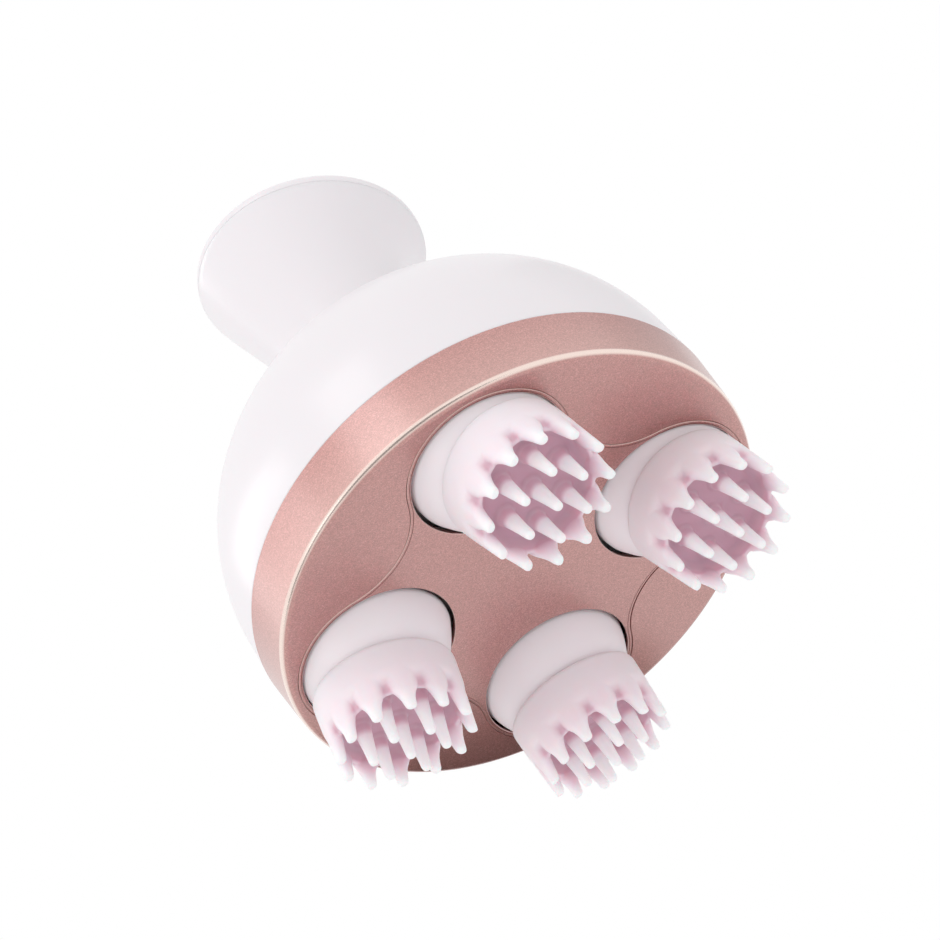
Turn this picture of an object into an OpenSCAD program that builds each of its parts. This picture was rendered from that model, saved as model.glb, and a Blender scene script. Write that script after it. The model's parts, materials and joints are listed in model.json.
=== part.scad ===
// Electric scalp massager with four leaning heads of soft fingers.
// Millimetres. +Z is up, the grip knob is on top and the object stands on its fingertips.
// The origin lies on the body axis, level with the lowest fingertips.

/* [Body] */
// Diameter of the body where the white dome meets the metallic bezel
body_d = 105; // [96:0.5:114]
// Height from the flat face up to the dome seam
band_h = 12.5; // [11.5:0.1:16]
// How much the bezel narrows from the seam to its lower edge, on the radius
band_taper = 0.7; // [0:0.1:1]
// Radius of the rounded lower edge of the bezel
edge_r = 1.4; // [0.6:0.1:1.6]
// Height of the near-upright lower part of the dome
dome_wall_h = 8; // [5:0.5:12]
// Height of the domed part above it
dome_h = 47; // [44:0.5:52]
// Wall of the dome and of the bezel
wall = 2.7; // [2.6:0.1:3.2]
// Thickness of the face
face_t = 2.2; // [1.8:0.1:2.6]

/* [Clover insert] */
// Margin of the insert round each head opening
clover_margin = 1; // [0.8:0.1:1.3]
// Distance from the body axis to the waist of the insert between two heads
clover_waist = 31.3; // [29:0.1:33]
// Width of the seam round the insert
seam_w = 0.25; // [0.15:0.05:0.4]

/* [Heads] */
// Radius of each opening in the face
opening_r = 16.3; // [16:0.1:16.6]
// Lean of each head from the vertical, in degrees
lean = 13; // [8:0.5:14]
// Height of the point that a head leans about, above the face
pivot_rise = 7; // [6:0.1:8]
// Length of a head from that point to its outer fingertips
head_len = 27.6; // [26:0.1:32]
// Where the soft cap starts, along the head
cap_start = 12.4; // [11.6:0.1:13]
// Radius of the soft cap at its back edge
cap_r = 14.4; // [14:0.1:15]
// Floor of the cap that the inner fingers stand on, along the head
cap_floor = 20.5; // [20:0.1:21.5]
// Depth of the valleys between the outer fingers
valley_h = 4.6; // [3.5:0.1:5.5]
// Radius of the cap's base where it passes the face
base_r = 15.9; // [15.6:0.1:16]

/* [Fingers] */
// Number of outer fingers on a head
outer_n = 12; // [10:1:14]
// Radius of the ring of outer fingertips
outer_ring_r = 13.1; // [12.6:0.1:13.4]
// Number of inner fingers round the middle one
inner_n = 6; // [5:1:7]
// Radius of the ring of inner fingertips
inner_ring_r = 7.2; // [6.6:0.1:7.6]
// How far the inner fingers stand past the outer ones
inner_extra = 2.1; // [1:0.1:3]
// How far the middle finger stands past the outer ones
middle_extra = 2.5; // [1:0.1:3]
// Radius of a fingertip
tip_r = 0.85; // [0.6:0.05:1]
// Radius of an inner finger at its root
root_r = 1.9; // [1.6:0.1:2.1]

/* [Knob] */
// Radius of the knob at its rim
knob_r = 25.2; // [22:0.1:28]
// Radius of the knob at its neck
neck_r = 13; // [12.5:0.1:15]
// Height of the rim's centre above the dome's top land
knob_h = 38; // [34:0.5:44]
// Slant of the rim, in degrees
knob_slant = 14.8; // [0:0.2:18]
// Wall of the knob
knob_wall = 2; // [1.6:0.1:2.4]
// Thickness of the knob's end plate
end_plate_t = 2.4; // [2:0.1:3]

/* [Button] */
// Radius of the power button
button_r = 8; // [6.5:0.1:9]
// Travel of the power button
button_travel = 1; // [0.6:0.1:1.2]
// Height that the button stands above the end plate
button_proud = 0.4; // [0.2:0.1:0.8]
// Width of the light ring round the button
light_ring_w = 1.6; // [1.2:0.1:2]

/* [Gear train] */
// Tooth size of the gears that turn the heads
head_module = 1; // [0.98:0.01:1.02]
// Teeth of the central pinion
centre_teeth = 35; // [34:1:36]
// Teeth of each head gear
head_teeth = 30; // [29:1:31]
// Tooth size of the motor stage
motor_module = 0.6; // [0.58:0.01:0.6]
// Teeth of the large wheel of the motor stage
wheel_teeth = 60; // [56:1:62]
// Teeth of the motor pinion
pinion_teeth = 15; // [13:1:17]
// Width of the head gears
gear_w = 5; // [4:0.1:6]
// Width of the large wheel
wheel_w = 4; // [3:0.1:5]
// Radius of the steel shafts
shaft_r = 2.5; // [2:0.1:2.8]
// Radius of the centre axle
axle_r = 2; // [1.6:0.1:2.4]

/* [Drive and power] */
// Diameter of the motor can
motor_d = 20.4; // [18:0.1:21]
// Length of the motor can
motor_len = 25; // [22:0.1:26]
// Diameter of the battery cell
cell_d = 18.2; // [16:0.1:18.6]
// Length of the battery cell
cell_len = 49.8; // [44:0.1:51]
// Diameter of the charging socket's bore, for a 2.5 mm pin plug
socket_bore_d = 2.54; // [2.5:0.01:3]
// Depth of the charging socket's bore
socket_bore_len = 10; // [8:0.5:12]
// Height of the charging socket above the dome seam
socket_rise = 18; // [17.5:0.5:21]
// Thickness of the circuit boards
board_t = 1.6; // [1:0.1:2]

/* [Fits] */
// Running clearance on the radius
run_gap = 0.05; // [0.02:0.01:0.08]
// Gap between pieces that move past each other
move_gap = 0.5; // [0.4:0.05:0.7]
// Gap between still pieces that slip together
slip_gap = 0.1; // [0.05:0.01:0.2]
// Play between meshing teeth
backlash = 0.16; // [0.1:0.01:0.2]

/* [Hidden] */
$fn = 64;
tiny = 0.01;
// Length of a cut that passes right through, and how far joined parts of one piece overlap
far = body_d;
lap = 0.5;
// Gap round pieces that stand inside others
room = 0.3;
body_r = body_d / 2;
inner_r = body_r - wall - room;
gear_reach = head_module * (centre_teeth + head_teeth) / 2;
motor_reach = motor_module * (wheel_teeth + pinion_teeth) / 2;

// Heads: place round the body, direction of lean and turn of the fingers, in degrees
head_at = [-90, 0, 180, 90];
lean_to = [-53.7, -50, 143.3, 89.6];
outer_turn = [6.6, 18.8, 21.2, 10.9];
inner_turn = [36.6, 48.8, 51.2, 10.9];

// Depth of the fingertips below the point that a head leans about
function tip_drop(ring, reach, turn, n) =
    max([for (i = [0:n - 1])
        (reach - tip_r) * cos(lean) - ring * cos(turn + 360 * i / n) * sin(lean) + tip_r]);
pivot_z = max([for (k = [0:3]) max(
    tip_drop(outer_ring_r, head_len, outer_turn[k], outer_n),
    tip_drop(inner_ring_r, head_len + inner_extra, inner_turn[k], inner_n),
    tip_drop(0, head_len + middle_extra, 0, 1))]);
face_z = pivot_z - pivot_rise;
seam_z = face_z + band_h;

// Levels of the drive, upwards from the face
base_top = 1.5;
base_max_r = base_r + 0.3;
base_wide_s = 3.4;
opening_flare = 0.28;
opening_land = 0.4;
tray_z = pivot_z - base_top * cos(lean) + base_max_r * sin(lean) + move_gap;
tray_t = 2.2;
gear_z = tray_z + tray_t + move_gap;
wheel_z = gear_z + gear_w + move_gap;
cover_z = wheel_z + wheel_w + move_gap;
cover_t = 2;
cover_top = cover_z + cover_t;
cover_r = inner_r - 8;
boss_r = 5;
bush_wall = 1;
elbow_r = shaft_r + 0.7;
axle_seat = 0.8;
axle_hub_r = axle_r + 2;
wheel_hub_r = 8;

// Screws
screw_r = 1.25;
screw_head_r = 2.3;
screw_head_h = 1.3;
post_r = 3.4;
pilot_depth = 7;
face_in_r = clover_waist - 4;
bezel_screw_at = face_in_r - 0.8;
gearbox_screw_at = cover_r - 3.9;
tray_screw_at = inner_r - 5;
tray_screw_turn = 17;
tongue_t = 2.6;
tongue_w = 8;
dome_boss_r = 3;
dome_boss_h = 22;
rib_t = 1.6;

// Battery side and motor side, in degrees round the body axis
motor_side = 45;
cell_side = 225;
socket_side = 135;
cell_at = 17;
holder_floor = 1;
cell_z = cover_top + holder_floor + cell_d / 2;
pillar_w = 3.4;
board_gap = 0.6;
main_board_w = 18;
main_board_z = cell_z + cell_d / 2 + board_gap;
main_board_len = cell_len + 2 * pillar_w + 1;

// Motor, on its axis
nose_r = 3;
nose_h = 1.4;
rotor_r = 1;
rotor_in = 9.5;
motor_screw_at = 6;
motor_screw_r = 0.9;

// Dome and knob
land_r = neck_r + 0.2;
dome_step = 0.1;
dome_r = body_r - 0.4;
dome_skin = 1;
dome_c = seam_z + dome_wall_h;
land_z = dome_c + dome_h * sqrt(1 - pow(land_r / dome_r, 2));
spigot_r = 8;
spigot_bore = 6;
spigot_h = 6.2;
knob_floor_t = 3;
nut_h = 2.6;
seal_w = 1;
seal_r = body_r - 1.6;

// The knob's centre line bends from upright at the neck to the rim's slant
knob_rings = 10;
knob_sides = 48;
function bend(t) = knob_slant * t * t;
function centre_x(t, n = 20) =
    knob_h * t / n * [for (i = [0:n - 1]) sin(bend(t * (i + 0.5) / n))] * [for (i = [0:n - 1]) 1];
function centre_z(t, n = 20) =
    knob_h * t / n * [for (i = [0:n - 1]) cos(bend(t * (i + 0.5) / n))] * [for (i = [0:n - 1]) 1];
function flare(t) = neck_r + (knob_r - neck_r) * (0.18 * t + 0.82 * pow(t, 2.1));
rim_x = centre_x(1);
rim_z = land_z + centre_z(1);

// End plate of the knob
plate_edge = 1.2;
plate_rim_w = 1.4;
plate_rim_in = 1.6;
plate_rim_h = 2;
guide_wall = 1.5;
light_ring_in = 0.6;
light_ring_t = 1;

// Button stack, measured down from the knob's rim plane
guide_r = button_r + run_gap;
guide_len = 4.4;
flange_r = button_r + 1;
flange_t = 0.9;
switch_w = 7;
switch_h = 3.2;
plunger_r = 1.5;
plunger_gap = 0.2;
switch_top = guide_len + flange_t + button_travel + plunger_gap;
switch_board_top = switch_top + switch_h;
switch_board_r = 14;
board_post_at = 11.8;
board_post_r = 1.9;
board_screw_r = 0.875;

// Flat cable, at distances from the body axis on the battery side
ribbon_t = 0.5;
ribbon_w = 6;
ribbon_start = 11;
ribbon_at = 3.5;
ribbon_rise = 4;
ribbon_end_gap = 0.2;

// Charging socket, along the socket side
socket_r = 4;
socket_len = socket_bore_len + 3.5;
socket_z = seam_z + socket_rise;
socket_face = dome_r * sqrt(1 - pow(max(socket_rise - dome_wall_h, 0) / dome_h, 2)) - 1;
grommet_w = 1.5;
grommet_t = 2;
sleeve_wall = 1.4;
sleeve_at = gearbox_screw_at + screw_head_r + move_gap;

// Soft cap, along the head and on the radius
cap_wall = 3.4;
cap_floor_t = 3;
crown_wall = 3;
tooth_r = 3.3;
pin_in = 1.6;

// ---- Helpers ----

module tube(outer, inner, h) {
    difference() {
        cylinder(r = outer, h = h);
        translate([0, 0, -1]) cylinder(r = inner, h = h + 2);
    }
}

// Copies at a distance from the axis, on the four diagonals turned by an angle
module on_diagonals(reach, turn = 0) {
    for (a = [45:90:315]) rotate(a + turn) translate([reach, 0, 0]) rotate(-a - turn) children();
}

// Copies on the four head positions
module on_heads() {
    for (a = head_at) rotate(a) translate([gear_reach, 0, 0]) children();
}

// Frame of one head: local -Z runs out along its leaning axis from the pivot
module head_frame(k) {
    rotate(head_at[k]) translate([gear_reach, 0, pivot_z])
        rotate(lean_to[k] - head_at[k]) rotate([0, -lean, 0]) children();
}

// Frame of the knob's rim: local +Z is square to the slanted rim
module rim_frame() {
    translate([rim_x, 0, rim_z]) rotate([0, knob_slant, 0]) children();
}

// Half angle of a tooth at radius r, on an involute with a 20 degree pressure angle
function inv(a) = tan(a) * 180 / PI - a;
function half_tooth(m, n, r) =
    let (pitch = m * n / 2, base = pitch * cos(20))
    90 / n - backlash / 4 / pitch * 180 / PI + inv(20) - inv(acos(min(1, base / max(r, base))));

module gear_shape(m, n, turn = 0, tip = 0.9, root = 1.2) {
    pitch = m * n / 2;
    radii = [pitch - root * m, pitch - 0.4 * m, pitch + tip * m];
    polygon([for (i = [0:n - 1]) each concat(
        [for (j = [0:2]) radii[j] * [cos(360 * i / n + turn - half_tooth(m, n, radii[j])),
                                     sin(360 * i / n + turn - half_tooth(m, n, radii[j]))]],
        [for (j = [2:-1:0]) radii[j] * [cos(360 * i / n + turn + half_tooth(m, n, radii[j])),
                                        sin(360 * i / n + turn + half_tooth(m, n, radii[j]))]])]);
}

// Turn that puts a gear of n teeth in mesh with one of m teeth whose tooth 0 points along +X,
// the second gear lying in direction a from the first
function mesh_turn(m, n, a) = let (u = a * m / 360) a + 180 - (0.5 - u + floor(u)) * 360 / n;

// Points of an arc about a centre, from one angle up to just before another
function arc(centre, r, from, to, n) =
    [for (i = [0:n - 1]) let (a = from + (to - from) * i / n) centre + r * [cos(a), sin(a)]];

// Clover insert: four lobes round the heads joined by four hollow waists, grown by an amount.
// Each lobe's arc runs into the next waist's arc at a common tangent.
module clover(grow, h) {
    lobe_r = opening_r + clover_margin;
    lobe_to_waist = clover_waist - lobe_r;
    waist_at = (gear_reach * gear_reach - lobe_to_waist * lobe_to_waist)
        / (2 * (gear_reach * cos(45) - lobe_to_waist));
    waist_r = waist_at - clover_waist;
    join = atan2(waist_at * sin(45), waist_at * cos(45) - gear_reach);
    linear_extrude(h) polygon([for (a = [0:90:270]) each concat(
        arc(gear_reach * [cos(a), sin(a)], lobe_r + grow, a - join, a + join, 28),
        arc(waist_at * [cos(a + 45), sin(a + 45)], waist_r - grow, a + join + 180, a + 270 - join, 12))]);
}

module screw(length, head_r = screw_head_r, head_h = screw_head_h, r = screw_r) {
    // Head with a hexagon socket below the origin, shank upwards
    translate([0, 0, -head_h]) difference() {
        cylinder(r = head_r, h = head_h);
        translate([0, 0, -tiny]) cylinder(r = head_r * 0.45, h = head_h * 0.6, $fn = 6);
    }
    cylinder(r = r, h = length);
}

// ---- Housing ----

module bezel_ring() {
    color("rosybrown") difference() {
        union() {
            rotate_extrude($fn = 128) polygon(concat(
                [[inner_r, seam_z], [body_r, seam_z], [body_r - band_taper, face_z + edge_r]],
                [for (a = [-15:-15:-75])
                    [body_r - band_taper - edge_r + edge_r * cos(a), face_z + edge_r + edge_r * sin(a)]],
                [[body_r - band_taper - edge_r, face_z], [face_in_r, face_z],
                 [face_in_r, face_z + face_t], [inner_r, face_z + face_t]]));
            // Tongues that reach over the insert to its screws
            translate([0, 0, face_z + face_t - lap]) intersection() {
                cylinder(r = inner_r + lap, h = tongue_t + lap, $fn = 128);
                for (a = [45:90:315]) rotate(a) translate([bezel_screw_at - tongue_w / 2, -tongue_w / 2, 0])
                    cube([body_r, tongue_w, tongue_t + lap]);
            }
        }
        translate([0, 0, face_z - 1]) clover(seam_w / 2, face_t + 1);
        translate([0, 0, face_z]) on_diagonals(bezel_screw_at) {
            cylinder(r = screw_r + slip_gap, h = far);
            cylinder(r = screw_head_r + slip_gap, h = face_t + screw_head_h + slip_gap);
        }
        translate([0, 0, seam_z - seal_w])
            tube(seal_r + seal_w / 2 + slip_gap, seal_r - seal_w / 2 - slip_gap, far);
    }
}

module face_plate() {
    // The openings widen inwards, to clear the leaning heads
    flare_h = face_t + 1;
    color("rosybrown") translate([0, 0, face_z]) difference() {
        clover(-seam_w / 2, face_t);
        on_heads() rotate_extrude() polygon([[0, -1], [opening_r, -1], [opening_r, opening_land],
            [opening_r + flare_h * opening_flare, opening_land + flare_h], [0, opening_land + flare_h]]);
    }
}

// Solid under a half ellipse of radius a and height b, on a foot, cut off at the top's radius
module dome_outline(a, b, bottom_r, bottom_z, top_r) {
    steps = 18;
    top_angle = acos(top_r / a);
    rotate_extrude($fn = 128) polygon(concat(
        [[0, bottom_z], [bottom_r, bottom_z]],
        [for (i = [0:steps]) [a * cos(top_angle * i / steps), dome_c + b * sin(top_angle * i / steps)]],
        [[0, dome_c + b * sin(top_angle)]]));
}

// Solid that keeps the parts inside the dome behind its outer face
module dome_core() {
    dome_outline(dome_r - dome_skin, dome_h - dome_skin, body_r - dome_step - dome_skin, tray_z, land_r);
}

module dome_shell() {
    color("white") difference() {
        union() {
            difference() {
                dome_outline(dome_r, dome_h, body_r - dome_step, seam_z, land_r);
                dome_outline(inner_r - dome_step, dome_h - wall, inner_r, seam_z - 1, spigot_bore);
            }
            translate([0, 0, land_z - wall - 1]) tube(spigot_r, spigot_bore, spigot_h + wall + 1);
            // Screw bosses that come down onto the tray, each on a rib of the dome's wall
            intersection() {
                dome_core();
                difference() {
                    for (a = [45:90:315]) rotate(a + tray_screw_turn)
                        translate([tray_screw_at, 0, tray_z + tray_t]) {
                            cylinder(r = dome_boss_r, h = dome_boss_h);
                            translate([0, -rib_t / 2, 0]) cube([body_r - tray_screw_at, rib_t, dome_boss_h]);
                        }
                    translate([0, 0, tray_z]) tube(far, inner_r - room, seam_z - tray_z);
                }
            }
            // Sleeve that carries the charging socket
            intersection() {
                dome_core();
                rotate(socket_side) translate([sleeve_at, 0, socket_z]) rotate([0, 90, 0])
                    cylinder(r = socket_r + slip_gap + sleeve_wall, h = far);
            }
        }
        on_diagonals(tray_screw_at, tray_screw_turn)
            translate([0, 0, tray_z + tray_t - 1]) cylinder(r = screw_r, h = pilot_depth + 4);
        rotate(socket_side) translate([0, 0, socket_z]) rotate([0, 90, 0]) {
            cylinder(r = socket_r + slip_gap, h = far);
            translate([0, 0, socket_face - grommet_t]) cylinder(r = socket_r + grommet_w, h = far);
        }
        translate([0, 0, land_z - wall - 2]) cylinder(r = spigot_bore, h = far);
    }
}

module housing_seal() {
    color("dimgray") translate([0, 0, seam_z - seal_w])
        tube(seal_r + seal_w / 2, seal_r - seal_w / 2, seal_w);
}

// ---- Knob ----

// Ring i of the knob: level t along the bent centre line, radius r
function ring_points(t, r) = [for (j = [0:knob_sides - 1])
    let (x = r * cos(360 * j / knob_sides), y = r * sin(360 * j / knob_sides))
    [centre_x(t) + x * cos(bend(t)), y, land_z + centre_z(t) - x * sin(bend(t))]];

// Closed flared solid between two levels, thinner than the outer surface by an inset
module flared_solid(from, to, inset) {
    points = [for (i = [0:knob_rings])
        each let (t = from + (to - from) * i / knob_rings) ring_points(t, flare(t) - inset)];
    n = knob_sides;
    sides = [for (i = [0:knob_rings - 1], j = [0:n - 1])
        each [[i * n + j, (i + 1) * n + j, i * n + (j + 1) % n],
              [(i + 1) * n + j, (i + 1) * n + (j + 1) % n, i * n + (j + 1) % n]]];
    polyhedron(points, concat(sides,
        [[for (j = [0:n - 1]) j], [for (j = [n - 1:-1:0]) knob_rings * n + j]]));
}

module knob_shell() {
    color("white") difference() {
        flared_solid(0, 1, 0);
        flared_solid(knob_floor_t / knob_h, 1.02, knob_wall);
        translate([0, 0, land_z - 1]) cylinder(r = spigot_r + slip_gap, h = knob_floor_t + 3);
    }
}

module neck_nut() {
    // Just clear of the floor, which leans a little
    color("silver") translate([0, 0, land_z + knob_floor_t + slip_gap / 2])
        tube(neck_r - knob_wall - room, spigot_r + run_gap, nut_h);
}

module knob_end_plate() {
    rim_r = knob_r - knob_wall - plate_rim_in;
    inner_edge = knob_r - plate_edge;
    color("white") rim_frame() difference() {
        union() {
            rotate_extrude() polygon([[0, 0], [knob_r, 0], [knob_r, end_plate_t - plate_edge],
                for (a = [15:15:75]) [inner_edge, end_plate_t - plate_edge] + plate_edge * [cos(a), sin(a)],
                [inner_edge, end_plate_t], [0, end_plate_t]]);
            translate([0, 0, -plate_rim_h]) tube(rim_r, rim_r - plate_rim_w, plate_rim_h + lap);
            translate([0, 0, -guide_len]) cylinder(r = guide_r + guide_wall, h = guide_len + lap);
            for (a = [0:120:240]) rotate(a) translate([board_post_at, 0, -switch_board_top])
                cylinder(r = board_post_r, h = switch_board_top + lap);
        }
        translate([0, 0, -guide_len - 1]) cylinder(r = guide_r, h = far);
        translate([0, 0, end_plate_t - light_ring_t]) light_ring_space(slip_gap, far);
        for (a = [0:120:240]) rotate(a) translate([board_post_at, 0, -switch_board_top - 1])
            cylinder(r = board_screw_r, h = pilot_depth);
    }
}

// Ring round the button, wider than its groove's light guide by a gap
module light_ring_space(gap, h) {
    tube(guide_r + light_ring_in + light_ring_w + gap, guide_r + light_ring_in - gap, h);
}

module light_ring() {
    color("ivory") rim_frame() translate([0, 0, end_plate_t - light_ring_t])
        light_ring_space(0, light_ring_t);
}

module power_button() {
    top = end_plate_t + button_proud;
    // Bevelled edge and a shallow dish for the fingertip
    bevel = 0.6;
    dish = 0.3;
    color("rosybrown") rim_frame() {
        rotate_extrude() polygon([[0, -guide_len - flange_t], [flange_r, -guide_len - flange_t],
            [flange_r, -guide_len], [button_r, -guide_len], [button_r, top - bevel],
            [button_r - bevel / 3, top - bevel / 3], [button_r - bevel, top], [0, top - dish]]);
    }
}

module switch_plunger() {
    color("dimgray") rim_frame() translate([0, 0, -switch_top - switch_h * 0.4])
        cylinder(r = plunger_r, h = switch_h * 0.4 + button_travel + plunger_gap);
}

module tact_switch() {
    color("dimgray") rim_frame() difference() {
        translate([-switch_w / 2, -switch_w / 2, -switch_board_top]) cube([switch_w, switch_w, switch_h]);
        translate([0, 0, -switch_board_top + lap]) cylinder(r = plunger_r + run_gap, h = switch_h);
    }
}

module switch_board() {
    color("seagreen") rim_frame() translate([0, 0, -switch_board_top - board_t]) difference() {
        cylinder(r = switch_board_r, h = board_t);
        for (a = [0:120:240]) rotate(a) translate([board_post_at, 0, -1])
            cylinder(r = board_screw_r + slip_gap, h = board_t + 2);
    }
}

module switch_board_screws() {
    color("silver") rim_frame() for (a = [0:120:240]) rotate(a)
        translate([board_post_at, 0, -switch_board_top - board_t])
            screw(pilot_depth - 1.5, 1.7, 1, board_screw_r);
}

// Flat cable from the main board up through the neck to the switch board
module ribbon_cable() {
    start = [ribbon_start, main_board_z + board_t];
    // Lowest point of the slanted board over the cable's end
    end_x = ribbon_at * cos(cell_side) + ribbon_w / 2 * abs(sin(cell_side));
    board_low = rim_z - (switch_board_top + board_t) / cos(knob_slant)
        - (end_x - rim_x) * tan(knob_slant) - ribbon_end_gap;
    neck_low = land_z - wall - spigot_bore / 2;
    color("gainsboro") rotate(cell_side) rotate([90, 0, 0])
        translate([0, 0, -ribbon_w / 2]) linear_extrude(ribbon_w)
        polygon([start, start + [0, ribbon_rise], [ribbon_at, neck_low], [ribbon_at, board_low],
            [ribbon_at - ribbon_t, board_low], [ribbon_at - ribbon_t, neck_low - ribbon_t],
            start + [-ribbon_t, ribbon_rise - ribbon_t], start + [-ribbon_t, 0]]);
}

// ---- Power ----

module in_cell_frame() {
    rotate(cell_side) translate([cell_at, 0, 0]) children();
}

module main_board() {
    color("seagreen") in_cell_frame()
        translate([-main_board_w / 2, -main_board_len / 2, main_board_z])
        cube([main_board_w, main_board_len, board_t]);
}

module battery_cell() {
    color("steelblue") in_cell_frame() translate([0, cell_len / 2, cell_z]) rotate([90, 0, 0]) {
        cylinder(r = cell_d / 2, h = cell_len - 1);
        translate([0, 0, cell_len - 1 - tiny]) cylinder(r = cell_d / 6, h = 1);
    }
}

module battery_holder() {
    half = cell_len / 2 + slip_gap;
    color("whitesmoke") in_cell_frame() difference() {
        union() {
            translate([-cell_d / 2 + 1, -half, cover_top]) cube([cell_d - 2, 2 * half, cell_d * 0.4]);
            for (s = [-1, 1]) translate([-cell_d / 4, s > 0 ? half : -half - pillar_w, cover_top])
                cube([cell_d / 2, pillar_w, main_board_z - cover_top]);
        }
        translate([0, half, cell_z]) rotate([90, 0, 0]) cylinder(r = cell_d / 2 + slip_gap, h = 2 * half);
    }
}

module charging_socket() {
    color("dimgray") rotate(socket_side) translate([socket_face - socket_len, 0, socket_z]) rotate([0, 90, 0])
        difference() {
            cylinder(r = socket_r, h = socket_len);
            translate([0, 0, socket_len - socket_bore_len])
                cylinder(r = socket_bore_d / 2, h = socket_bore_len + 1);
        }
}

module socket_grommet() {
    color("lightgray") rotate(socket_side) translate([socket_face - grommet_t, 0, socket_z])
        rotate([0, 90, 0]) tube(socket_r + grommet_w, socket_r + slip_gap / 2, grommet_t);
}

// ---- Gearbox and motor ----

module gearbox_tray() {
    tongue_top = face_z + face_t + tongue_t;
    color("silver") difference() {
        union() {
            translate([0, 0, tray_z]) cylinder(r = inner_r - room, h = tray_t, $fn = 128);
            // Posts down to the bezel's tongues, and up to the cover
            translate([0, 0, tongue_top]) on_diagonals(bezel_screw_at)
                cylinder(r = post_r, h = tray_z - tongue_top + lap);
            translate([0, 0, tray_z + lap]) on_diagonals(gearbox_screw_at)
                cylinder(r = post_r, h = cover_z - tray_z - lap);
            translate([0, 0, tray_z]) cylinder(r = axle_hub_r, h = tray_t + move_gap / 2);
        }
        translate([0, 0, tray_z - 1]) on_heads() cylinder(r = shaft_r + bush_wall, h = far);
        translate([0, 0, tray_z + axle_seat]) cylinder(r = axle_r, h = far);
        translate([0, 0, face_z]) on_diagonals(bezel_screw_at) cylinder(r = screw_r, h = tray_z - face_z);
        translate([0, 0, cover_z - pilot_depth]) on_diagonals(gearbox_screw_at)
            cylinder(r = screw_r, h = far);
        translate([0, 0, tray_z - 1]) on_diagonals(tray_screw_at, tray_screw_turn)
            cylinder(r = screw_r + slip_gap, h = far);
    }
}

module gearbox_cover() {
    boss_z = gear_z + gear_w + move_gap;
    color("silver") difference() {
        union() {
            translate([0, 0, cover_z]) cylinder(r = cover_r, h = cover_t, $fn = 128);
            translate([0, 0, boss_z]) on_heads() cylinder(r = boss_r, h = cover_z - boss_z + lap);
        }
        translate([0, 0, gear_z]) on_heads() cylinder(r = shaft_r + bush_wall, h = cover_z - gear_z);
        translate([0, 0, cover_z - 1]) cylinder(r = axle_r, h = far);
        translate([0, 0, cover_z - 1]) on_diagonals(gearbox_screw_at)
            cylinder(r = screw_r + slip_gap, h = far);
        rotate(motor_side) translate([motor_reach, 0, cover_z - 1]) {
            cylinder(r = nose_r + 0.2, h = far);
            for (s = [-1, 1]) translate([0, s * motor_screw_at, 0])
                cylinder(r = motor_screw_r + slip_gap, h = far);
        }
    }
}

module centre_axle() {
    foot = tray_z + axle_seat;
    color("lightsteelblue") translate([0, 0, foot]) cylinder(r = axle_r, h = cover_top - foot);
}

// Central pinion and large wheel in one moulding, turning on the centre axle
module double_gear() {
    color("wheat") difference() {
        union() {
            translate([0, 0, gear_z]) linear_extrude(gear_w) gear_shape(head_module, centre_teeth);
            translate([0, 0, gear_z + gear_w - lap]) cylinder(r = wheel_hub_r, h = move_gap + 2 * lap);
            translate([0, 0, wheel_z]) linear_extrude(wheel_w) gear_shape(motor_module, wheel_teeth);
        }
        translate([0, 0, gear_z - 1]) cylinder(r = axle_r + run_gap, h = far);
    }
}

module motor_can() {
    // Step at the can's closed end
    step_w = 4;
    step_h = 1;
    color("silver") rotate(motor_side) translate([motor_reach, 0, cover_top]) difference() {
        union() {
            cylinder(r = motor_d / 2, h = motor_len - step_h);
            translate([0, 0, motor_len - step_h - tiny]) cylinder(r = motor_d / 2 - step_w, h = step_h);
            translate([0, 0, -nose_h]) cylinder(r = nose_r, h = nose_h + 0.1);
        }
        translate([0, 0, -nose_h - 1]) cylinder(r = rotor_r + run_gap, h = nose_h + rotor_in + 1.5);
        for (s = [-1, 1]) translate([0, s * motor_screw_at, -1]) cylinder(r = motor_screw_r, h = 5);
    }
}

module motor_screws() {
    color("silver") rotate(motor_side) for (s = [-1, 1]) translate([motor_reach, s * motor_screw_at, cover_z])
        screw(4.5, 1.6, move_gap * 0.7, motor_screw_r - 0.05);
}

// Motor shaft with its pinion
module motor_pinion() {
    turn = mesh_turn(wheel_teeth, pinion_teeth, motor_side) - motor_side;
    color("goldenrod") rotate(motor_side) translate([motor_reach, 0, wheel_z]) {
        linear_extrude(wheel_w) gear_shape(motor_module, pinion_teeth, turn);
        cylinder(r = rotor_r, h = cover_top + rotor_in - wheel_z);
    }
}

module lower_bushes() {
    color("goldenrod") translate([0, 0, tray_z]) on_heads()
        tube(shaft_r + bush_wall, shaft_r + run_gap, tray_t);
}

module upper_bushes() {
    z = gear_z + gear_w + move_gap;
    color("goldenrod") translate([0, 0, z]) on_heads()
        tube(shaft_r + bush_wall, shaft_r + run_gap, cover_z - z);
}

// Lip seals round the spindles, against the underside of the tray
module spindle_seals() {
    h = 0.35;
    color("dimgray") translate([0, 0, tray_z - h]) on_heads() tube(shaft_r + 2, shaft_r + run_gap, h);
}

module bezel_screws() {
    color("silver") translate([0, 0, face_z + face_t + screw_head_h]) on_diagonals(bezel_screw_at) screw(5);
}

module tray_screws() {
    color("silver") translate([0, 0, tray_z]) on_diagonals(tray_screw_at, tray_screw_turn) screw(9);
}

module gearbox_screws() {
    color("silver") translate([0, 0, cover_top]) on_diagonals(gearbox_screw_at) mirror([0, 0, 1]) screw(8);
}

// ---- Heads ----

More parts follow.
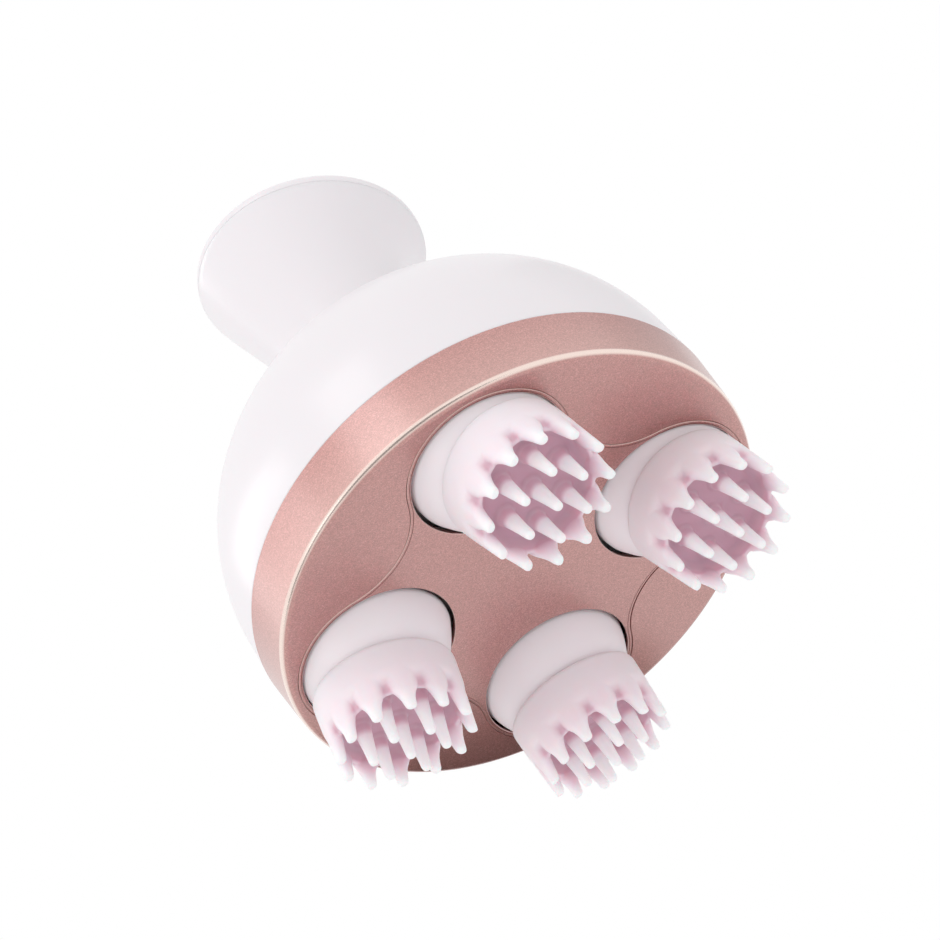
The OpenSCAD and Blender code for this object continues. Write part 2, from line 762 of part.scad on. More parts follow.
module head_gear(k) {
    a = head_at[k];
    turn = mesh_turn(centre_teeth, head_teeth, a) - a;
    color("wheat") rotate(a) translate([gear_reach, 0, gear_z]) difference() {
        linear_extrude(gear_w) gear_shape(head_module, head_teeth, turn);
        translate([0, 0, -1]) cylinder(r = shaft_r, h = gear_w + 2);
    }
}

// Spindle: an upright shaft with a leaning pin that carries the head
module spindle(k) {
    color("lightsteelblue") {
        rotate(head_at[k]) translate([gear_reach, 0, pivot_z])
            cylinder(r = shaft_r, h = cover_z - pivot_z - room);
        head_frame(k) {
            sphere(r = elbow_r);
            difference() {
                translate([0, 0, -cap_start - pin_in]) cylinder(r = shaft_r, h = cap_start + pin_in);
                translate([0, 0, -cap_start - 2]) cylinder(r = screw_r, h = pilot_depth);
            }
        }
    }
}

module head_base(k) {
    chamfer = 1.2;
    color("lavenderblush") head_frame(k) difference() {
        rotate_extrude($fn = 96) polygon([[0, -base_top], [base_max_r - chamfer, -base_top],
            [base_max_r, -base_top - 1], [base_max_r, -base_wide_s], [base_r, -base_wide_s - 1.6],
            [cap_r - 1, -cap_start], [cap_r - cap_wall, -cap_start],
            [cap_r - cap_wall, -cap_floor + cap_floor_t], [0, -cap_floor + cap_floor_t]]);
        translate([0, 0, -cap_start - pin_in]) cylinder(r = shaft_r + run_gap, h = far);
        translate([0, 0, -far]) cylinder(r = screw_r + slip_gap, h = far);
        // Room for the elbow at the top of the pin
        translate([0, 0, -elbow_r - slip_gap]) cylinder(r = elbow_r + slip_gap, h = far);
    }
}

module head_screw(k) {
    color("silver") head_frame(k) translate([0, 0, -cap_floor + cap_floor_t]) screw(pilot_depth + 1);
}

module finger(s_root, r_root, s_tip) {
    translate([0, 0, -s_tip + tip_r]) {
        sphere(r = tip_r, $fn = 24);
        cylinder(r1 = tip_r, r2 = r_root, h = s_tip - tip_r - s_root, $fn = 24);
    }
}

module finger_cap(k) {
    valley = head_len - valley_h;
    outer_at_tip = outer_ring_r + tip_r;
    crown_in = cap_r - crown_wall;
    color("lavenderblush") head_frame(k) difference() {
        union() {
            // Sleeve and crown wall
            rotate_extrude($fn = 96) polygon([[0, -cap_start - run_gap], [cap_r - 0.6, -cap_start - run_gap],
                [cap_r, -cap_start - 0.7], [outer_at_tip + 0.15, -valley], [crown_in, -valley],
                [crown_in - 0.6, -cap_floor], [0, -cap_floor]]);
            // Outer fingers, kept to the thickness of the crown wall
            intersection() {
                for (i = [0:outer_n - 1]) rotate(outer_turn[k] + 360 * i / outer_n)
                    translate([outer_ring_r, 0, 0]) finger(valley - 2 * lap, tooth_r, head_len);
                rotate_extrude($fn = 96) polygon([[crown_in - 0.2, -valley + 2],
                    [outer_at_tip + 0.2, -valley + 2], [outer_at_tip, -head_len - 1],
                    [outer_ring_r - tip_r, -head_len - 1]]);
            }
            for (i = [0:inner_n - 1]) rotate(inner_turn[k] + 360 * i / inner_n)
                translate([inner_ring_r, 0, 0]) finger(cap_floor - lap, root_r, head_len + inner_extra);
            finger(cap_floor - lap, root_r, head_len + middle_extra);
        }
        // Socket for the base and its screw
        translate([0, 0, -cap_floor + cap_floor_t]) {
            cylinder(r = cap_r - cap_wall, h = far);
            translate([0, 0, -screw_head_h - slip_gap]) cylinder(r = screw_head_r + slip_gap, h = far);
        }
    }
}

// ---- Nodes ----

bezel_ring();
face_plate();
dome_shell();
housing_seal();
knob_shell();
neck_nut();
knob_end_plate();
light_ring();
power_button();
switch_plunger();
tact_switch();
switch_board();
switch_board_screws();
ribbon_cable();
main_board();
battery_cell();
battery_holder();
charging_socket();
socket_grommet();
motor_can();
motor_pinion();
gearbox_tray();
gearbox_cover();
centre_axle();
double_gear();
lower_bushes();
upper_bushes();
spindle_seals();
bezel_screws();
tray_screws();
gearbox_screws();
motor_screws();
head_gear(0);  // head_gear_1
head_gear(1);  // head_gear_2
head_gear(2);  // head_gear_3
head_gear(3);  // head_gear_4
spindle(0);  // spindle_1
spindle(1);  // spindle_2
spindle(2);  // spindle_3
spindle(3);  // spindle_4
head_base(0);  // head_base_1
head_base(1);  // head_base_2
head_base(2);  // head_base_3
head_base(3);  // head_base_4
head_screw(0);  // head_screw_1
head_screw(1);  // head_screw_2
head_screw(2);  // head_screw_3
head_screw(3);  // head_screw_4
finger_cap(0);  // finger_cap_1
finger_cap(1);  // finger_cap_2
finger_cap(2);  // finger_cap_3
finger_cap(3);  // finger_cap_4
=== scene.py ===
"""Studio model of an electric scalp massager.

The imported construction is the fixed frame. Round it this script models the pieces that show:
the metallic bezel with its clover insert, the white dome, the flared knob with its power button,
the charging port, and four leaning heads of soft silicone fingers. The inner pieces keep their
own shapes and get their finishes.

Forms are modelled in millimetres about the body axis, and are brought to metres when finished.
"""

from __future__ import annotations

import json
import logging
import math
from dataclasses import dataclass
from enum import Enum
from typing import Any, Callable, Sequence

import bmesh
import bpy
import numpy as np
from mathutils import Matrix, Vector

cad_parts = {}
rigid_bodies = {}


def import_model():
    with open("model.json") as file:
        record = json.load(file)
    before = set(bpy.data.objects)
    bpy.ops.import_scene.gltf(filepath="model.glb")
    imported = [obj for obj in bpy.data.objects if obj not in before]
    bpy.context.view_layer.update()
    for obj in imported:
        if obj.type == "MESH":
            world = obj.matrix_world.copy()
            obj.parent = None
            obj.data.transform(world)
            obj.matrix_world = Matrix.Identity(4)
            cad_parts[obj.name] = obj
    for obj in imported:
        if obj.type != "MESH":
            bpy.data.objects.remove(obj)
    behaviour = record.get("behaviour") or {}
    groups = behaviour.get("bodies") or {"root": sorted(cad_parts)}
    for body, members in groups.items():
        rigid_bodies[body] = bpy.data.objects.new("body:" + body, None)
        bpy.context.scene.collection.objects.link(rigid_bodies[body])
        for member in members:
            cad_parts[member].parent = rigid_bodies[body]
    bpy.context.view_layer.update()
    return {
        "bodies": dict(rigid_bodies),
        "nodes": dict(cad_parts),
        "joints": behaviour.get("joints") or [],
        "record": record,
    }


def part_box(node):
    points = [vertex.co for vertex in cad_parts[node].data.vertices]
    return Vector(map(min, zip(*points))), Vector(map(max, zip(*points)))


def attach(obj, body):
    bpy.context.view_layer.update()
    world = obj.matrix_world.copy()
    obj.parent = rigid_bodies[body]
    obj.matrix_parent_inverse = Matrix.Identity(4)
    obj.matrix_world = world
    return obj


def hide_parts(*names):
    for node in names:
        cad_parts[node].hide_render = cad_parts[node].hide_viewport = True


LOG = logging.getLogger("massager")
MM = 0.001
# Points nearer than this are merged, in millimetres: as a rule, and where a spun outline closes
MERGE = 1e-4
SPIN_MERGE = 1e-3
# Edges bent by more than these angles are rounded, and stay sharp in the shading
ROUND_OVER = math.radians(50)
SHARP_OVER = math.radians(40)
WHITE = (1.0, 1.0, 1.0, 1.0)
Point = tuple[float, float]
Point3 = tuple[float, float, float]
Colour = tuple[float, float, float]
Piece = bpy.types.Object
Socket = bpy.types.NodeSocket
Tree = bpy.types.NodeTree


class Slot(str, Enum):
    """Material slots of the object's record."""

    ROSE = "rose_metal"
    SHELL = "white_shell"
    HEAD = "head_plastic"
    SILICONE = "silicone"
    SEAL = "dark_rubber"
    GROMMET = "grey_rubber"
    LIGHT = "light_guide"
    DARK = "dark_plastic"
    INNER = "inner_plastic"
    GEAR = "gear_plastic"
    BOARD = "circuit_board"
    CELL = "cell_wrap"
    CABLE = "cable"
    BRASS = "brass"
    STEEL = "steel"


class Shading(Enum):
    """How a finished skin is smoothed."""

    ROUND = "round"
    CRISP = "crisp"


# ---- Bench: selection, primitives and modifiers ----


def clear_selection() -> None:
    """Leave edit mode and deselect every object."""
    if bpy.context.mode != "OBJECT":
        bpy.ops.object.mode_set(mode="OBJECT")
    bpy.ops.object.select_all(action="DESELECT")


def take(*pieces: Piece) -> Piece:
    """Select some pieces alone.

    Args:
        pieces: The pieces to select.

    Returns:
        The first of them, which becomes the active one.
    """
    clear_selection()
    for piece in pieces:
        piece.select_set(True)
    bpy.context.view_layer.objects.active = pieces[0]
    return pieces[0]


def open_mesh(piece: Piece) -> None:
    """Enter edit mode on one piece with all of it selected.

    Args:
        piece: The piece to edit.
    """
    take(piece)
    bpy.ops.object.mode_set(mode="EDIT")
    bpy.ops.mesh.select_all(action="SELECT")


def close_mesh() -> None:
    """Merge doubled points, turn the faces outwards and leave edit mode."""
    bpy.ops.mesh.select_all(action="SELECT")
    bpy.ops.mesh.remove_doubles(threshold=MERGE)
    bpy.ops.mesh.normals_make_consistent(inside=False)
    bpy.ops.object.mode_set(mode="OBJECT")


def apply_modifier(piece: Piece, kind: str, **settings: Any) -> None:
    """Add a modifier to a piece and apply it.

    Args:
        piece: The piece to change.
        kind: Blender's name of the modifier type.
        settings: Values of the modifier's properties.
    """
    take(piece)
    modifier = piece.modifiers.new(kind.lower(), kind)
    for key, value in settings.items():
        setattr(modifier, key, value)
    bpy.ops.object.modifier_apply(modifier=modifier.name)


def combine(piece: Piece, other: Piece, operation: str = "DIFFERENCE") -> None:
    """Cut one closed piece out of another, or weld it on with UNION, and remove it."""
    apply_modifier(piece, "BOOLEAN", object=other, operation=operation, solver="EXACT")
    bpy.data.objects.remove(other)


def arc(centre: Point, radius: float, start: float, end: float, count: int) -> list[Point]:
    """List some points of an arc between two angles in degrees, both ends included."""
    angles = [math.radians(start + (end - start) * i / (count - 1)) for i in range(count)]
    return [(centre[0] + radius * math.cos(a), centre[1] + radius * math.sin(a)) for a in angles]


def rounded(corner: Point, edge: float, start: float, end: float, count: int) -> list[Point]:
    """Round a square corner of an outline.

    Args:
        corner: The corner, as radius and height.
        edge: Radius of the rounding.
        start: First angle in degrees. The corner lies halfway between the two angles.
        end: Last angle in degrees.
        count: Number of points, both ends included.

    Returns:
        The points, in order.
    """
    middle = math.radians((start + end) / 2)
    centre = (corner[0] - math.copysign(edge, math.cos(middle)),
              corner[1] - math.copysign(edge, math.sin(middle)))
    return arc(centre, edge, start, end, count)


def turn_by(angle: float, axis: str) -> Matrix:
    """Rotation by an angle in degrees about an axis."""
    return Matrix.Rotation(math.radians(angle), 4, axis)


def lone_point(name: str, place: Sequence[float]) -> Piece:
    """Start a piece from one point, and stay in edit mode with that point selected.

    Args:
        name: Name of the new piece.
        place: Where the point goes.

    Returns:
        The new piece.
    """
    clear_selection()
    bpy.ops.mesh.primitive_plane_add(size=1.0)
    piece = bpy.context.object
    piece.name = name
    bpy.ops.object.mode_set(mode="EDIT")
    bpy.ops.mesh.select_all(action="SELECT")
    bpy.ops.mesh.merge(type="CENTER")
    bpy.ops.transform.translate(value=tuple(place))
    return piece


def turned(name: str, outline: Sequence[Point], steps: int = 160) -> Piece:
    """Turn an outline about the Z axis, as on a lathe.

    Args:
        name: Name of the new piece.
        outline: Points of radius and height. It ends on the axis at both ends, or closes on itself.
        steps: Number of faces round the axis.

    Returns:
        The closed solid.
    """
    piece = lone_point(name, (outline[0][0], 0.0, outline[0][1]))
    for start, end in zip(outline, outline[1:]):
        step = (end[0] - start[0], 0.0, end[1] - start[1])
        bpy.ops.mesh.extrude_region_move(TRANSFORM_OT_translate={"value": step})
    bpy.ops.mesh.select_all(action="SELECT")
    bpy.ops.mesh.spin(steps=steps, angle=math.tau, center=(0.0, 0.0, 0.0), axis=(0.0, 0.0, 1.0))
    close_mesh()
    return piece


@dataclass(frozen=True)
class Ring:
    """One section of a stacked form, in millimetres and degrees."""

    centre: Vector
    half_x: float
    half_y: float
    tilt: float = 0.0


def stacked(name: str, rings: Sequence[Ring], sides: int = 96) -> Piece:
    """Extrude a circle through a stack of sections and close its ends.

    Args:
        name: Name of the new piece.
        rings: The sections, in order. Where they tilt, they are circles.
        sides: Number of faces round each section.

    Returns:
        The closed solid.
    """
    clear_selection()
    bpy.ops.mesh.primitive_circle_add(vertices=sides, radius=1.0, fill_type="NOTHING")
    piece = bpy.context.object
    piece.name = name
    bpy.ops.object.mode_set(mode="EDIT")
    bpy.ops.mesh.select_all(action="SELECT")
    last = Ring(Vector((0.0, 0.0, 0.0)), 1.0, 1.0)
    for ring in rings:
        if ring is not rings[0]:
            bpy.ops.mesh.extrude_region_move()
        grow_x, grow_y = ring.half_x / last.half_x, ring.half_y / last.half_y
        bpy.ops.transform.resize(value=(grow_x, grow_y, grow_x), center_override=last.centre)
        # Without a window this operator turns the other way, so the angle has its sign changed
        turn = math.radians(last.tilt - ring.tilt)
        bpy.ops.transform.rotate(value=turn, orient_axis="Y", center_override=last.centre)
        bpy.ops.transform.translate(value=ring.centre - last.centre)
        last = ring
    bpy.ops.mesh.select_all(action="SELECT")
    bpy.ops.mesh.remove_doubles(threshold=MERGE)
    bpy.ops.mesh.fill_holes(sides=0)
    close_mesh()
    return piece


def soften_edges(piece: Piece, chosen: Callable[[Vector, Vector], bool], width: float,
                 segments: int = 3) -> None:
    """Round the sharp edges of a piece whose two ends pass a test.

    Args:
        piece: The piece to change.
        chosen: Test of the edge's two ends.
        width: Width of the rounding.
        segments: Number of faces across it.
    """
    open_mesh(piece)
    bpy.ops.mesh.select_all(action="DESELECT")
    bpy.ops.mesh.select_mode(type="EDGE")
    mesh = bmesh.from_edit_mesh(piece.data)
    for edge in mesh.edges:
        sharp = len(edge.link_faces) == 2 and edge.calc_face_angle(0.0) > ROUND_OVER
        edge.select = sharp and chosen(edge.verts[0].co, edge.verts[1].co)
    bmesh.update_edit_mesh(piece.data)
    bpy.ops.mesh.bevel(offset=width, segments=segments, affect="EDGES", clamp_overlap=True)
    bpy.ops.mesh.select_mode(type="VERT")
    close_mesh()


def copied(piece: Piece, name: str) -> Piece:
    """Copy a piece with a mesh of its own.

    Args:
        piece: The piece to copy.
        name: Name of the copy.

    Returns:
        The copy.
    """
    twin = piece.copy()
    twin.data = piece.data.copy()
    twin.name = name
    bpy.context.scene.collection.objects.link(twin)
    return twin


def joined(name: str, pieces: Sequence[Piece]) -> Piece:
    """Join pieces into one object.

    Args:
        name: Name of the result.
        pieces: The pieces to join.

    Returns:
        The joined piece.
    """
    piece = take(*pieces)
    bpy.ops.object.join()
    piece.name = name
    return piece


def points_of(piece: Piece) -> np.ndarray:
    """List the points of a piece's mesh.

    Args:
        piece: The piece.

    Returns:
        A row of x, y and z for each point.
    """
    places = np.empty(len(piece.data.vertices) * 3)
    piece.data.vertices.foreach_get("co", places)
    return places.reshape(-1, 3)


def mark_points(piece: Piece, name: str, values: np.ndarray) -> None:
    """Store a value from 0 to 1 for each point of a piece, for its material."""
    attribute = piece.data.attributes.new(name, "FLOAT", "POINT")
    attribute.data.foreach_set("value", values.astype(np.float32))


def ramp(values: np.ndarray, start: Any, end: Any) -> np.ndarray:
    """Rise in a straight line from 0 at a start to 1 at an end."""
    return np.clip((values - start) / (end - start), 0.0, 1.0)


def smooth(piece: Piece, shading: Shading) -> None:
    """Smooth a piece's shading.

    Args:
        piece: The piece to smooth.
        shading: ROUND for flowing skins, CRISP where flat faces meet small roundings.
    """
    take(piece)
    bpy.ops.object.shade_smooth_by_angle(angle=SHARP_OVER)
    if shading is Shading.CRISP:
        apply_modifier(piece, "WEIGHTED_NORMAL", keep_sharp=True, weight=50)


# ---- Finishes ----


class Wiring:
    """Nodes and links of one material or group."""

    def __init__(self, tree: Tree) -> None:
        """Start wiring a node tree."""
        self.tree = tree

    def add(self, kind: str, inputs: dict[str | int, Any] | None = None,
            **settings: Any) -> bpy.types.Node:
        """Add a node.

        Args:
            kind: Its type, without the ShaderNode prefix.
            inputs: Values or sockets for its inputs.
            settings: Values of its properties.

        Returns:
            The new node.
        """
        node = self.tree.nodes.new("ShaderNode" + kind)
        for key, value in settings.items():
            setattr(node, key, value)
        for key, value in (inputs or {}).items():
            if isinstance(value, Socket):
                self.tree.links.new(value, node.inputs[key])
            else:
                node.inputs[key].default_value = value
        return node

    def maths(self, operation: str, first: Any, second: Any = 0.0, clamp: bool = False) -> Socket:
        """Calculate with two values or sockets, kept from 0 to 1 where clamp is set."""
        node = self.add("Math", {0: first, 1: second}, operation=operation, use_clamp=clamp)
        return node.outputs[0]

    def blend(self, kind: str, factor: Any, first: Any, second: Any) -> Socket:
        """Blend two colours by a factor, with a blend type such as MIX or MULTIPLY."""
        node = self.add("Mix", {0: factor, 6: first, 7: second}, data_type="RGBA", blend_type=kind)
        return node.outputs[2]

    def spread(self, value: Any, low: float, high: float, to_low: float, to_high: float) -> Socket:
        """Map a value smoothly from the span low to high to another span."""
        node = self.add("MapRange", {0: value, 1: low, 2: high, 3: to_low, 4: to_high},
                        interpolation_type="SMOOTHSTEP")
        return node.outputs[0]

    def varied(self, colour: Any, pattern: Any, amount: Any) -> Socket:
        """Lighten and darken a colour by a pattern.

        Args:
            colour: The colour or socket.
            pattern: The pattern, even about 0.5.
            amount: How far the tone swings.

        Returns:
            The varied colour.
        """
        swing = self.maths("MULTIPLY", self.maths("SUBTRACT", pattern, 0.5), amount)
        tone = self.maths("ADD", swing, 1.0)
        grey = self.add("CombineColor", {0: tone, 1: tone, 2: tone}).outputs[0]
        return self.blend("MULTIPLY", 1.0, colour, grey)


def blank_sheet(owner: bpy.types.Material | bpy.types.World) -> Wiring:
    """Clear the nodes of a material or of the surroundings.

    Args:
        owner: The material or world.

    Returns:
        Its empty wiring.
    """
    owner.use_nodes = True
    owner.node_tree.nodes.clear()
    return Wiring(owner.node_tree)


class SharedEffects:
    """Node groups that more than one finish uses, each built once."""

    def __init__(self) -> None:
        """Build the groups."""
        self.moulded = self._moulded()
        self.flakes = self._flakes()
        self.turning = self._turning()

    @staticmethod
    def _start(name: str, inputs: dict[str, str],
               outputs: dict[str, str]) -> tuple[Wiring, Any, Any]:
        """Open a group with named inputs and outputs.

        Args:
            name: Name of the group.
            inputs: Socket types by input name.
            outputs: Socket types by output name.

        Returns:
            Its wiring, the sockets that it is given and those that it fills.
        """
        tree = bpy.data.node_groups.new(name, "ShaderNodeTree")
        for label, kind in inputs.items():
            tree.interface.new_socket(name=label, in_out="INPUT", socket_type="NodeSocket" + kind)
        for label, kind in outputs.items():
            tree.interface.new_socket(name=label, in_out="OUTPUT", socket_type="NodeSocket" + kind)
        given, out = tree.nodes.new("NodeGroupInput"), tree.nodes.new("NodeGroupOutput")
        return Wiring(tree), given.outputs, out.inputs

    def _moulded(self) -> Tree:
        """Build the slight unevenness of a moulded surface: slow tone drift and a fine grain.

        Returns:
            The group.
        """
        sheet, given, out = self._start(
            "moulded_surface",
            {"Color": "Color", "Drift": "Float", "Drift Scale": "Float", "Roughness": "Float",
             "Roughness Drift": "Float", "Grain Scale": "Float"},
            {"Color": "Color", "Roughness": "Float", "Height": "Float"})
        place = sheet.add("TexCoord").outputs["Object"]
        slow, fine = (sheet.add("TexNoise", {"Vector": place, "Scale": given[scale],
                                             "Detail": detail}).outputs[0]
                      for scale, detail in (("Drift Scale", 2.0), ("Grain Scale", 3.0)))
        colour = sheet.varied(given["Color"], slow, given["Drift"])
        centred = sheet.maths("SUBTRACT", slow, 0.5)
        patchy = sheet.maths("MULTIPLY", centred, given["Roughness Drift"])
        rough = sheet.maths("ADD", given["Roughness"], patchy, clamp=True)
        for label, socket in (("Color", colour), ("Roughness", rough), ("Height", fine)):
            sheet.tree.links.new(socket, out[label])
        return sheet.tree

    def _flakes(self) -> Tree:
        """Build the sparkle of metal flakes in a coat of paint.

        Returns:
            The group.
        """
        sheet, given, out = self._start(
            "metal_flakes",
            {"Color": "Color", "Flake Scale": "Float", "Sparkle": "Float", "Glint": "Color"},
            {"Color": "Color", "Height": "Float"})
        place, scale = sheet.add("TexCoord").outputs["Object"], given["Flake Scale"]
        flake = sheet.add("TexVoronoi", {"Vector": place, "Scale": scale}, feature="F1")
        level = sheet.add("SeparateColor", {0: flake.outputs["Color"]}).outputs[0]
        coarse = sheet.maths("MULTIPLY", scale, 0.7)
        cloud = sheet.add("TexNoise", {"Vector": place, "Scale": coarse, "Detail": 1.0}).outputs[0]
        mixed = sheet.maths("ADD", sheet.maths("MULTIPLY", level, 0.6),
                            sheet.maths("MULTIPLY", cloud, 0.4))
        base = sheet.varied(given["Color"], mixed, given["Sparkle"])
        bright = sheet.spread(level, 0.85, 1.0, 0.0, 0.15)
        sheet.tree.links.new(sheet.blend("MIX", bright, base, given["Glint"]), out["Color"])
        sheet.tree.links.new(mixed, out["Height"])
        return sheet.tree

    def _turning(self) -> Tree:
        """Build the fine rings that a lathe or a grinder leaves round the body axis.

        Returns:
            The group.
        """
        sheet, given, out = self._start(
            "turning_marks", {"Color": "Color", "Ring Scale": "Float", "Contrast": "Float"},
            {"Color": "Color", "Height": "Float"})
        place = sheet.add("TexCoord").outputs["Object"]
        wave = sheet.add("TexWave", {"Vector": place, "Scale": given["Ring Scale"],
                                     "Distortion": 1.5},
                         wave_type="RINGS", rings_direction="SPHERICAL").outputs[1]
        colour = sheet.varied(given["Color"], wave, given["Contrast"])
        sheet.tree.links.new(colour, out["Color"])
        sheet.tree.links.new(wave, out["Height"])
        return sheet.tree


@dataclass(frozen=True)
class Finish:
    """A moulded or painted surface. Colours are linear, scales per metre, depths in metres."""

    slot: Slot
    colour: Colour
    roughness: float = 0.45
    metallic: float = 0.0
    drift: float = 0.05
    drift_scale: float = 40.0
    roughness_drift: float = 0.08
    grain_scale: float = 2500.0
    grain_depth: float = 0.000004
    coat: float = 0.0
    coat_roughness: float = 0.1
    coat_ior: float = 1.5
    sheen: float = 0.0
    sheen_roughness: float = 0.4
    scatter: float = 0.0
    scatter_depth: float = 0.001
    scatter_tint: Colour = (1.0, 0.55, 0.62)
    ior: float = 1.5

    def surface(self, sheet: Wiring, effects: SharedEffects) -> tuple[Any, Any, Any]:
        """Wire the pattern of this finish.

        Args:
            sheet: The material's wiring.
            effects: The shared groups.

        Returns:
            Sockets of colour, roughness and height.
        """
        node = sheet.add("Group", {
            "Color": (*self.colour, 1.0), "Drift": self.drift, "Drift Scale": self.drift_scale,
            "Roughness": self.roughness, "Roughness Drift": self.roughness_drift,
            "Grain Scale": self.grain_scale}, node_tree=effects.moulded)
        return node.outputs["Color"], node.outputs["Roughness"], node.outputs["Height"]

    def material(self, effects: SharedEffects) -> bpy.types.Material:
        """Build the material.

        Args:
            effects: The shared groups.

        Returns:
            The new material.
        """
        material = bpy.data.materials.new(self.slot.value)
        sheet = blank_sheet(material)
        colour, roughness, height = self.surface(sheet, effects)
        bump = sheet.add("Bump", {"Strength": 1.0, "Distance": self.grain_depth, "Height": height})
        shader = sheet.add("BsdfPrincipled", {
            "Base Color": colour, "Roughness": roughness, "Metallic": self.metallic,
            "IOR": self.ior, "Coat Weight": self.coat, "Coat Roughness": self.coat_roughness,
            "Coat IOR": self.coat_ior, "Sheen Weight": self.sheen,
            "Sheen Roughness": self.sheen_roughness, "Subsurface Weight": self.scatter,
            "Subsurface Scale": self.scatter_depth, "Subsurface Radius": self.scatter_tint,
            "Normal": bump.outputs[0]})
        sheet.add("OutputMaterial", {"Surface": shader.outputs[0]})
        return material


@dataclass(frozen=True)
class FlakePaint(Finish):
    """Paint with metal flakes under a clear coat, with a painted highlight where the mesh marks it.
    """

    flake_scale: float = 5600.0
    sparkle: float = 0.6
    glint: Colour = (0.8, 0.6, 0.55)
    # Colour and roughness of the painted highlight on the crease and the bead
    bright: Colour = (0.92, 0.74, 0.66)
    bright_roughness: float = 0.2

    def surface(self, sheet: Wiring, effects: SharedEffects) -> tuple[Any, Any, Any]:
        """Wire the flakes over the slow drift of the coat, and the painted highlight of the crease.

        Args:
            sheet: The material's wiring.
            effects: The shared groups.

        Returns:
            Sockets of colour, roughness and height.
        """
        colour, roughness, _ = super().surface(sheet, effects)
        node = sheet.add("Group", {"Color": colour, "Flake Scale": self.flake_scale,
                                   "Sparkle": self.sparkle, "Glint": (*self.glint, 1.0)},
                         node_tree=effects.flakes)
        # Painted highlight: a lighter colour on a smoother coat, where the mesh marks it
        crease = sheet.add("Attribute", attribute_name=Face.PAINTED_HIGHLIGHT).outputs["Fac"]
        colour = sheet.blend("MIX", crease, node.outputs["Color"], (*self.bright, 1.0))
        smoother = sheet.maths("MULTIPLY", crease, self.bright_roughness - self.roughness)
        return colour, sheet.maths("ADD", roughness, smoother), node.outputs["Height"]


@dataclass(frozen=True)
class SoftSilicone(Finish):
    """Silicone with painted shade between the fingers and painted light in their thin tips."""

    # Painted shade and colour bleed in the hollows between the fingers and in the dimples
    painted_shade: Colour = (0.64, 0.39, 0.48)
    # Painted light of the thin tips, where light shines through the silicone
    pale: Colour = (0.94, 0.90, 0.925)

    def surface(self, sheet: Wiring, effects: SharedEffects) -> tuple[Any, Any, Any]:
        """Wire the painted shade of the hollow parts and the painted light of the tips, kept as
        mesh attributes.

        Args:
            sheet: The material's wiring.
            effects: The shared groups.

        Returns:
            Sockets of colour, roughness and height.
        """
        colour, roughness, height = super().surface(sheet, effects)
        inside = sheet.add("Attribute", attribute_name=FingerCap.INSIDE).outputs["Fac"]
        tip = sheet.add("Attribute", attribute_name=FingerCap.TIP).outputs["Fac"]
        colour = sheet.blend("MIX", tip, colour, (*self.pale, 1.0))
        return sheet.blend("MIX", inside, colour, (*self.painted_shade, 1.0)), roughness, height


@dataclass(frozen=True)
class TurnedMetal(Finish):
    """Metal with fine turning marks."""

    ring_scale: float = 1800.0
    contrast: float = 0.12

    def surface(self, sheet: Wiring, effects: SharedEffects) -> tuple[Any, Any, Any]:
        """Wire the turning marks over the slow drift.

        Args:
            sheet: The material's wiring.
            effects: The shared groups.

        Returns:
            Sockets of colour, roughness and height.
        """
        colour, roughness, _ = super().surface(sheet, effects)
        node = sheet.add("Group", {"Color": colour, "Ring Scale": self.ring_scale,
                                   "Contrast": self.contrast}, node_tree=effects.turning)
        return node.outputs["Color"], roughness, node.outputs["Height"]


@dataclass(frozen=True)
class CircuitBoard(Finish):
    """Solder mask over copper tracks."""

    track: Colour = (0.10, 0.36, 0.16)
    track_scale: float = 260.0

    def surface(self, sheet: Wiring, effects: SharedEffects) -> tuple[Any, Any, Any]:
        """Wire the tracks that show through the mask.

        Args:
            sheet: The material's wiring.
            effects: The shared groups.

        Returns:
            Sockets of colour, roughness and height.
        """
        colour, roughness, _ = super().surface(sheet, effects)
        place = sheet.add("TexCoord").outputs["Object"]
        cells = sheet.add("TexVoronoi", {"Vector": place, "Scale": self.track_scale}, feature="F1",
                          distance="MANHATTAN")
        rows = sheet.maths("FRACT", sheet.maths("MULTIPLY", cells.outputs["Distance"], 4.0))
        track = sheet.spread(rows, 0.40, 0.46, 0.0, 1.0)
        return sheet.blend("MIX", track, colour, (*self.track, 1.0)), roughness, track


